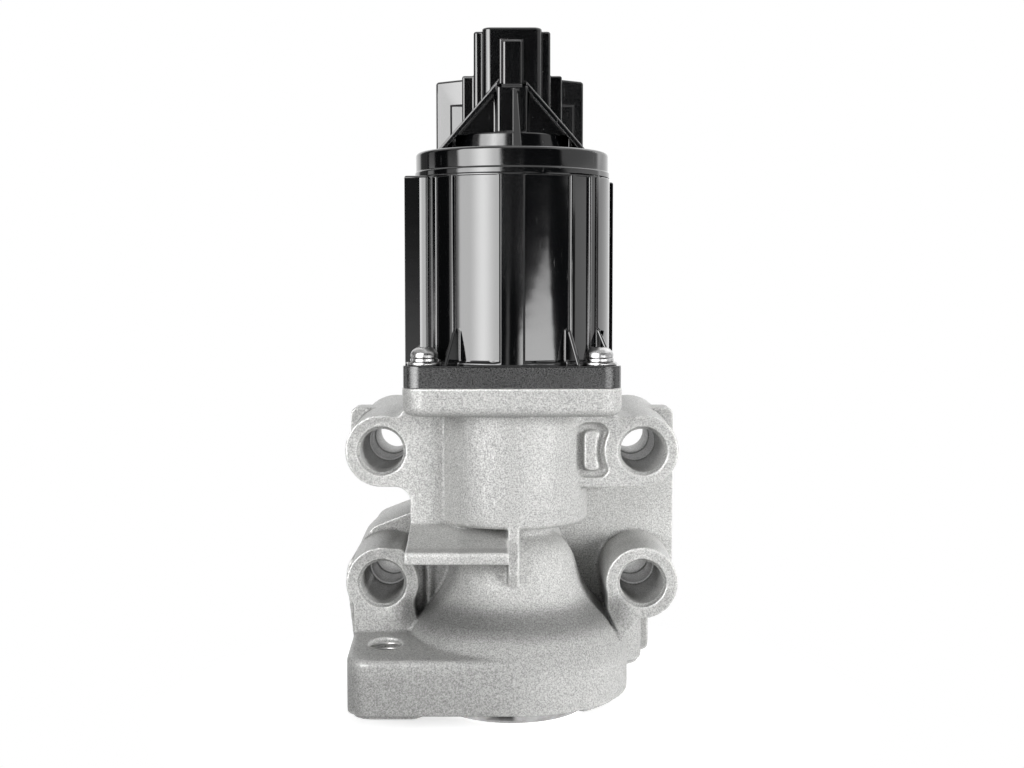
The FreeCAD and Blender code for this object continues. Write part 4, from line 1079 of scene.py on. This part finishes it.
def studio_world(world):
    """White behind the valve, a plain level on matt surfaces, and soft boxes in what is polished."""
    world.use_nodes = True
    nodes = Nodes(world.node_tree)
    way = nodes.add("ShaderNodeTexCoord", output="Generated")
    split = nodes.add("ShaderNodeSeparateXYZ", inputs={0: way}).socket.node.outputs
    x, y, z = (Wire(nodes, split[i]) for i in range(3))
    turn = nodes.add("ShaderNodeMath", {"operation": "ARCTAN2"}, {0: x, 1: -y}) * (180 / math.pi)
    rise = z.maths("ARCSINE", z) * (180 / math.pi)
    polished = soft_boxes(turn, rise)
    towards_front = 0.36 + 0.10 * y.ramp(-0.9, 0.2, 1.0, 0.0)
    plain = towards_front * z.ramp(0.1, 0.9, 1.0, 0.35) * z.ramp(-0.5, 0.1, 0.35, 1.0)
    path = nodes.add("ShaderNodeLightPath").socket.node.outputs
    camera, shiny = Wire(nodes, path["Is Camera Ray"]), Wire(nodes, path["Is Glossy Ray"])
    level = plain + (polished - plain) * shiny
    level = level + (1 - level) * camera
    back = nodes.add("ShaderNodeBackground", inputs={"Color": (1, 1, 1, 1), "Strength": level})
    nodes.add("ShaderNodeOutputWorld", inputs={"Surface": back})


def floor_material():
    """Pale floor: white to the camera apart from a soft shadow, and a plain matt surface to the light."""
    material = bpy.data.materials.new("pale_floor")
    material.use_nodes = True
    nodes = Nodes(material.node_tree)
    x, y, z = nodes.axes()
    radius = (x * x + y * y) ** 0.5
    near = radius.ramp(45, 100, 1.0, 0.0)
    bounce = nodes.add("ShaderNodeBsdfDiffuse", inputs={"Color": (0.55, 0.55, 0.55, 1.0)})
    shaded = nodes.add("ShaderNodeBsdfDiffuse", inputs={"Color": (0.95, 0.95, 0.95, 1.0)})
    glow = nodes.add("ShaderNodeEmission", inputs={"Color": (1, 1, 1, 1), "Strength": 0.62})
    white = nodes.add("ShaderNodeEmission", inputs={"Color": (1, 1, 1, 1), "Strength": 1.0})
    lit = nodes.add("ShaderNodeAddShader", inputs={0: shaded, 1: glow})
    seen = nodes.add("ShaderNodeMixShader", inputs={0: near, 1: white, 2: lit})
    path = nodes.add("ShaderNodeLightPath").socket.node.outputs
    looked_at = Wire(nodes, path["Is Camera Ray"]).most(Wire(nodes, path["Is Transmission Ray"]))
    beside_gap = 1 - x.window(-9, 1, 1.0) * y.ramp(-30, -15, 1.0, 0.0)  # a dark gap for the ring to mirror
    mirrored = nodes.add("ShaderNodeMixShader", inputs={0: beside_gap, 2: glow})
    shiny = Wire(nodes, path["Is Glossy Ray"])
    unseen = nodes.add("ShaderNodeMixShader", inputs={0: shiny, 1: bounce, 2: mirrored})
    mixed = nodes.add("ShaderNodeMixShader", inputs={0: looked_at, 1: unseen, 2: seen})
    nodes.add("ShaderNodeOutputMaterial", inputs={"Surface": mixed})
    return material


def lamp(name, place, target, size, power, spread=180):
    """A soft box that lights matt surfaces; the world draws what polished ones mirror."""
    data = bpy.data.lights.new(name, "AREA")
    data.shape = "RECTANGLE"
    data.size, data.size_y = size
    data.energy = power
    data.spread = math.radians(spread)
    light = bpy.data.objects.new(name, data)
    light.location = place
    light.rotation_euler = (Vector(target) - Vector(place)).to_track_quat("-Z", "Y").to_euler()
    light.visible_glossy = False
    bpy.context.scene.collection.objects.link(light)


class VALVE_OT_stage(bpy.types.Operator):
    """Sets up the camera, the pale floor and the soft studio light"""
    bl_idname = "valve.stage"
    bl_label = "Stage"

    def execute(self, context):
        scene = context.scene
        settings = scene.valve_stage
        floor_mesh = bpy.data.meshes.new("floor")
        work = bmesh.new()
        bmesh.ops.create_circle(work, cap_ends=True, segments=96, radius=320 * MM)
        work.to_mesh(floor_mesh)
        work.free()
        floor = bpy.data.objects.new("floor", floor_mesh)
        floor.location.z = -0.2 * MM
        floor_mesh.materials.append(floor_material())
        scene.collection.objects.link(floor)
        lamp("left_soft_box", (-0.46, -0.46, 0.20), (0, 0, 0.10), (0.30, 0.30), 0.34, 60)
        lamp("right_soft_box", (0.52, -0.34, 0.12), (0.02, 0, 0.03), (0.25, 0.25), 0.36, 40)
        lamp("rear_soft_box", (0.10, 0.60, 0.40), (0, 0, 0.09), (0.60, 0.40), 3.0)
        scene.world = scene.world or bpy.data.worlds.new("studio")
        studio_world(scene.world)
        lens = bpy.data.cameras.new("camera")
        lens.lens = settings.lens
        lens.sensor_width = 36.0
        camera = bpy.data.objects.new("camera", lens)
        camera.location = (0.0, -settings.distance, settings.height)
        camera.rotation_euler = (math.pi / 2 - settings.pitch, 0.0, 0.0)
        scene.collection.objects.link(camera)
        scene.camera = camera
        scene.view_settings.view_transform = "Standard"
        return {"FINISHED"}


class VALVE_PT_panel(bpy.types.Panel):
    """Lists the valve's pieces and their sizes"""
    bl_idname = "VALVE_PT_panel"
    bl_label = "Valve"
    bl_space_type = "VIEW_3D"
    bl_region_type = "UI"
    bl_category = "Valve"

    def draw(self, context):
        for operator in STEPS:
            self.layout.operator(operator.bl_idname)
        for name, group in GROUPS.items():
            box = self.layout.box()
            for prop in group.__annotations__:
                box.prop(getattr(context.scene, name), prop)


STEPS = (VALVE_OT_casting, VALVE_OT_mouldings, VALVE_OT_fasteners, VALVE_OT_threads, VALVE_OT_springs,
         VALVE_OT_inner_parts, VALVE_OT_stage)


def register():
    for group in GROUPS.values():
        bpy.utils.register_class(group)
    for name, group in GROUPS.items():
        setattr(bpy.types.Scene, name, PointerProperty(type=group))
    for operator in STEPS:
        bpy.utils.register_class(operator)
    bpy.utils.register_class(VALVE_PT_panel)


def unregister():
    bpy.utils.unregister_class(VALVE_PT_panel)
    for operator in reversed(STEPS):
        bpy.utils.unregister_class(operator)
    for name in GROUPS:
        delattr(bpy.types.Scene, name)
    for group in reversed(list(GROUPS.values())):
        bpy.utils.unregister_class(group)


def main():
    """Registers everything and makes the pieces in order."""
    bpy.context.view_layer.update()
    register()
    for operator in STEPS:
        group, name = operator.bl_idname.split(".")
        result = getattr(getattr(bpy.ops, group), name)()
        if result != {"FINISHED"}:
            raise RuntimeError(f"{operator.bl_idname} did not finish")


if __name__ == "__main__":
    main()
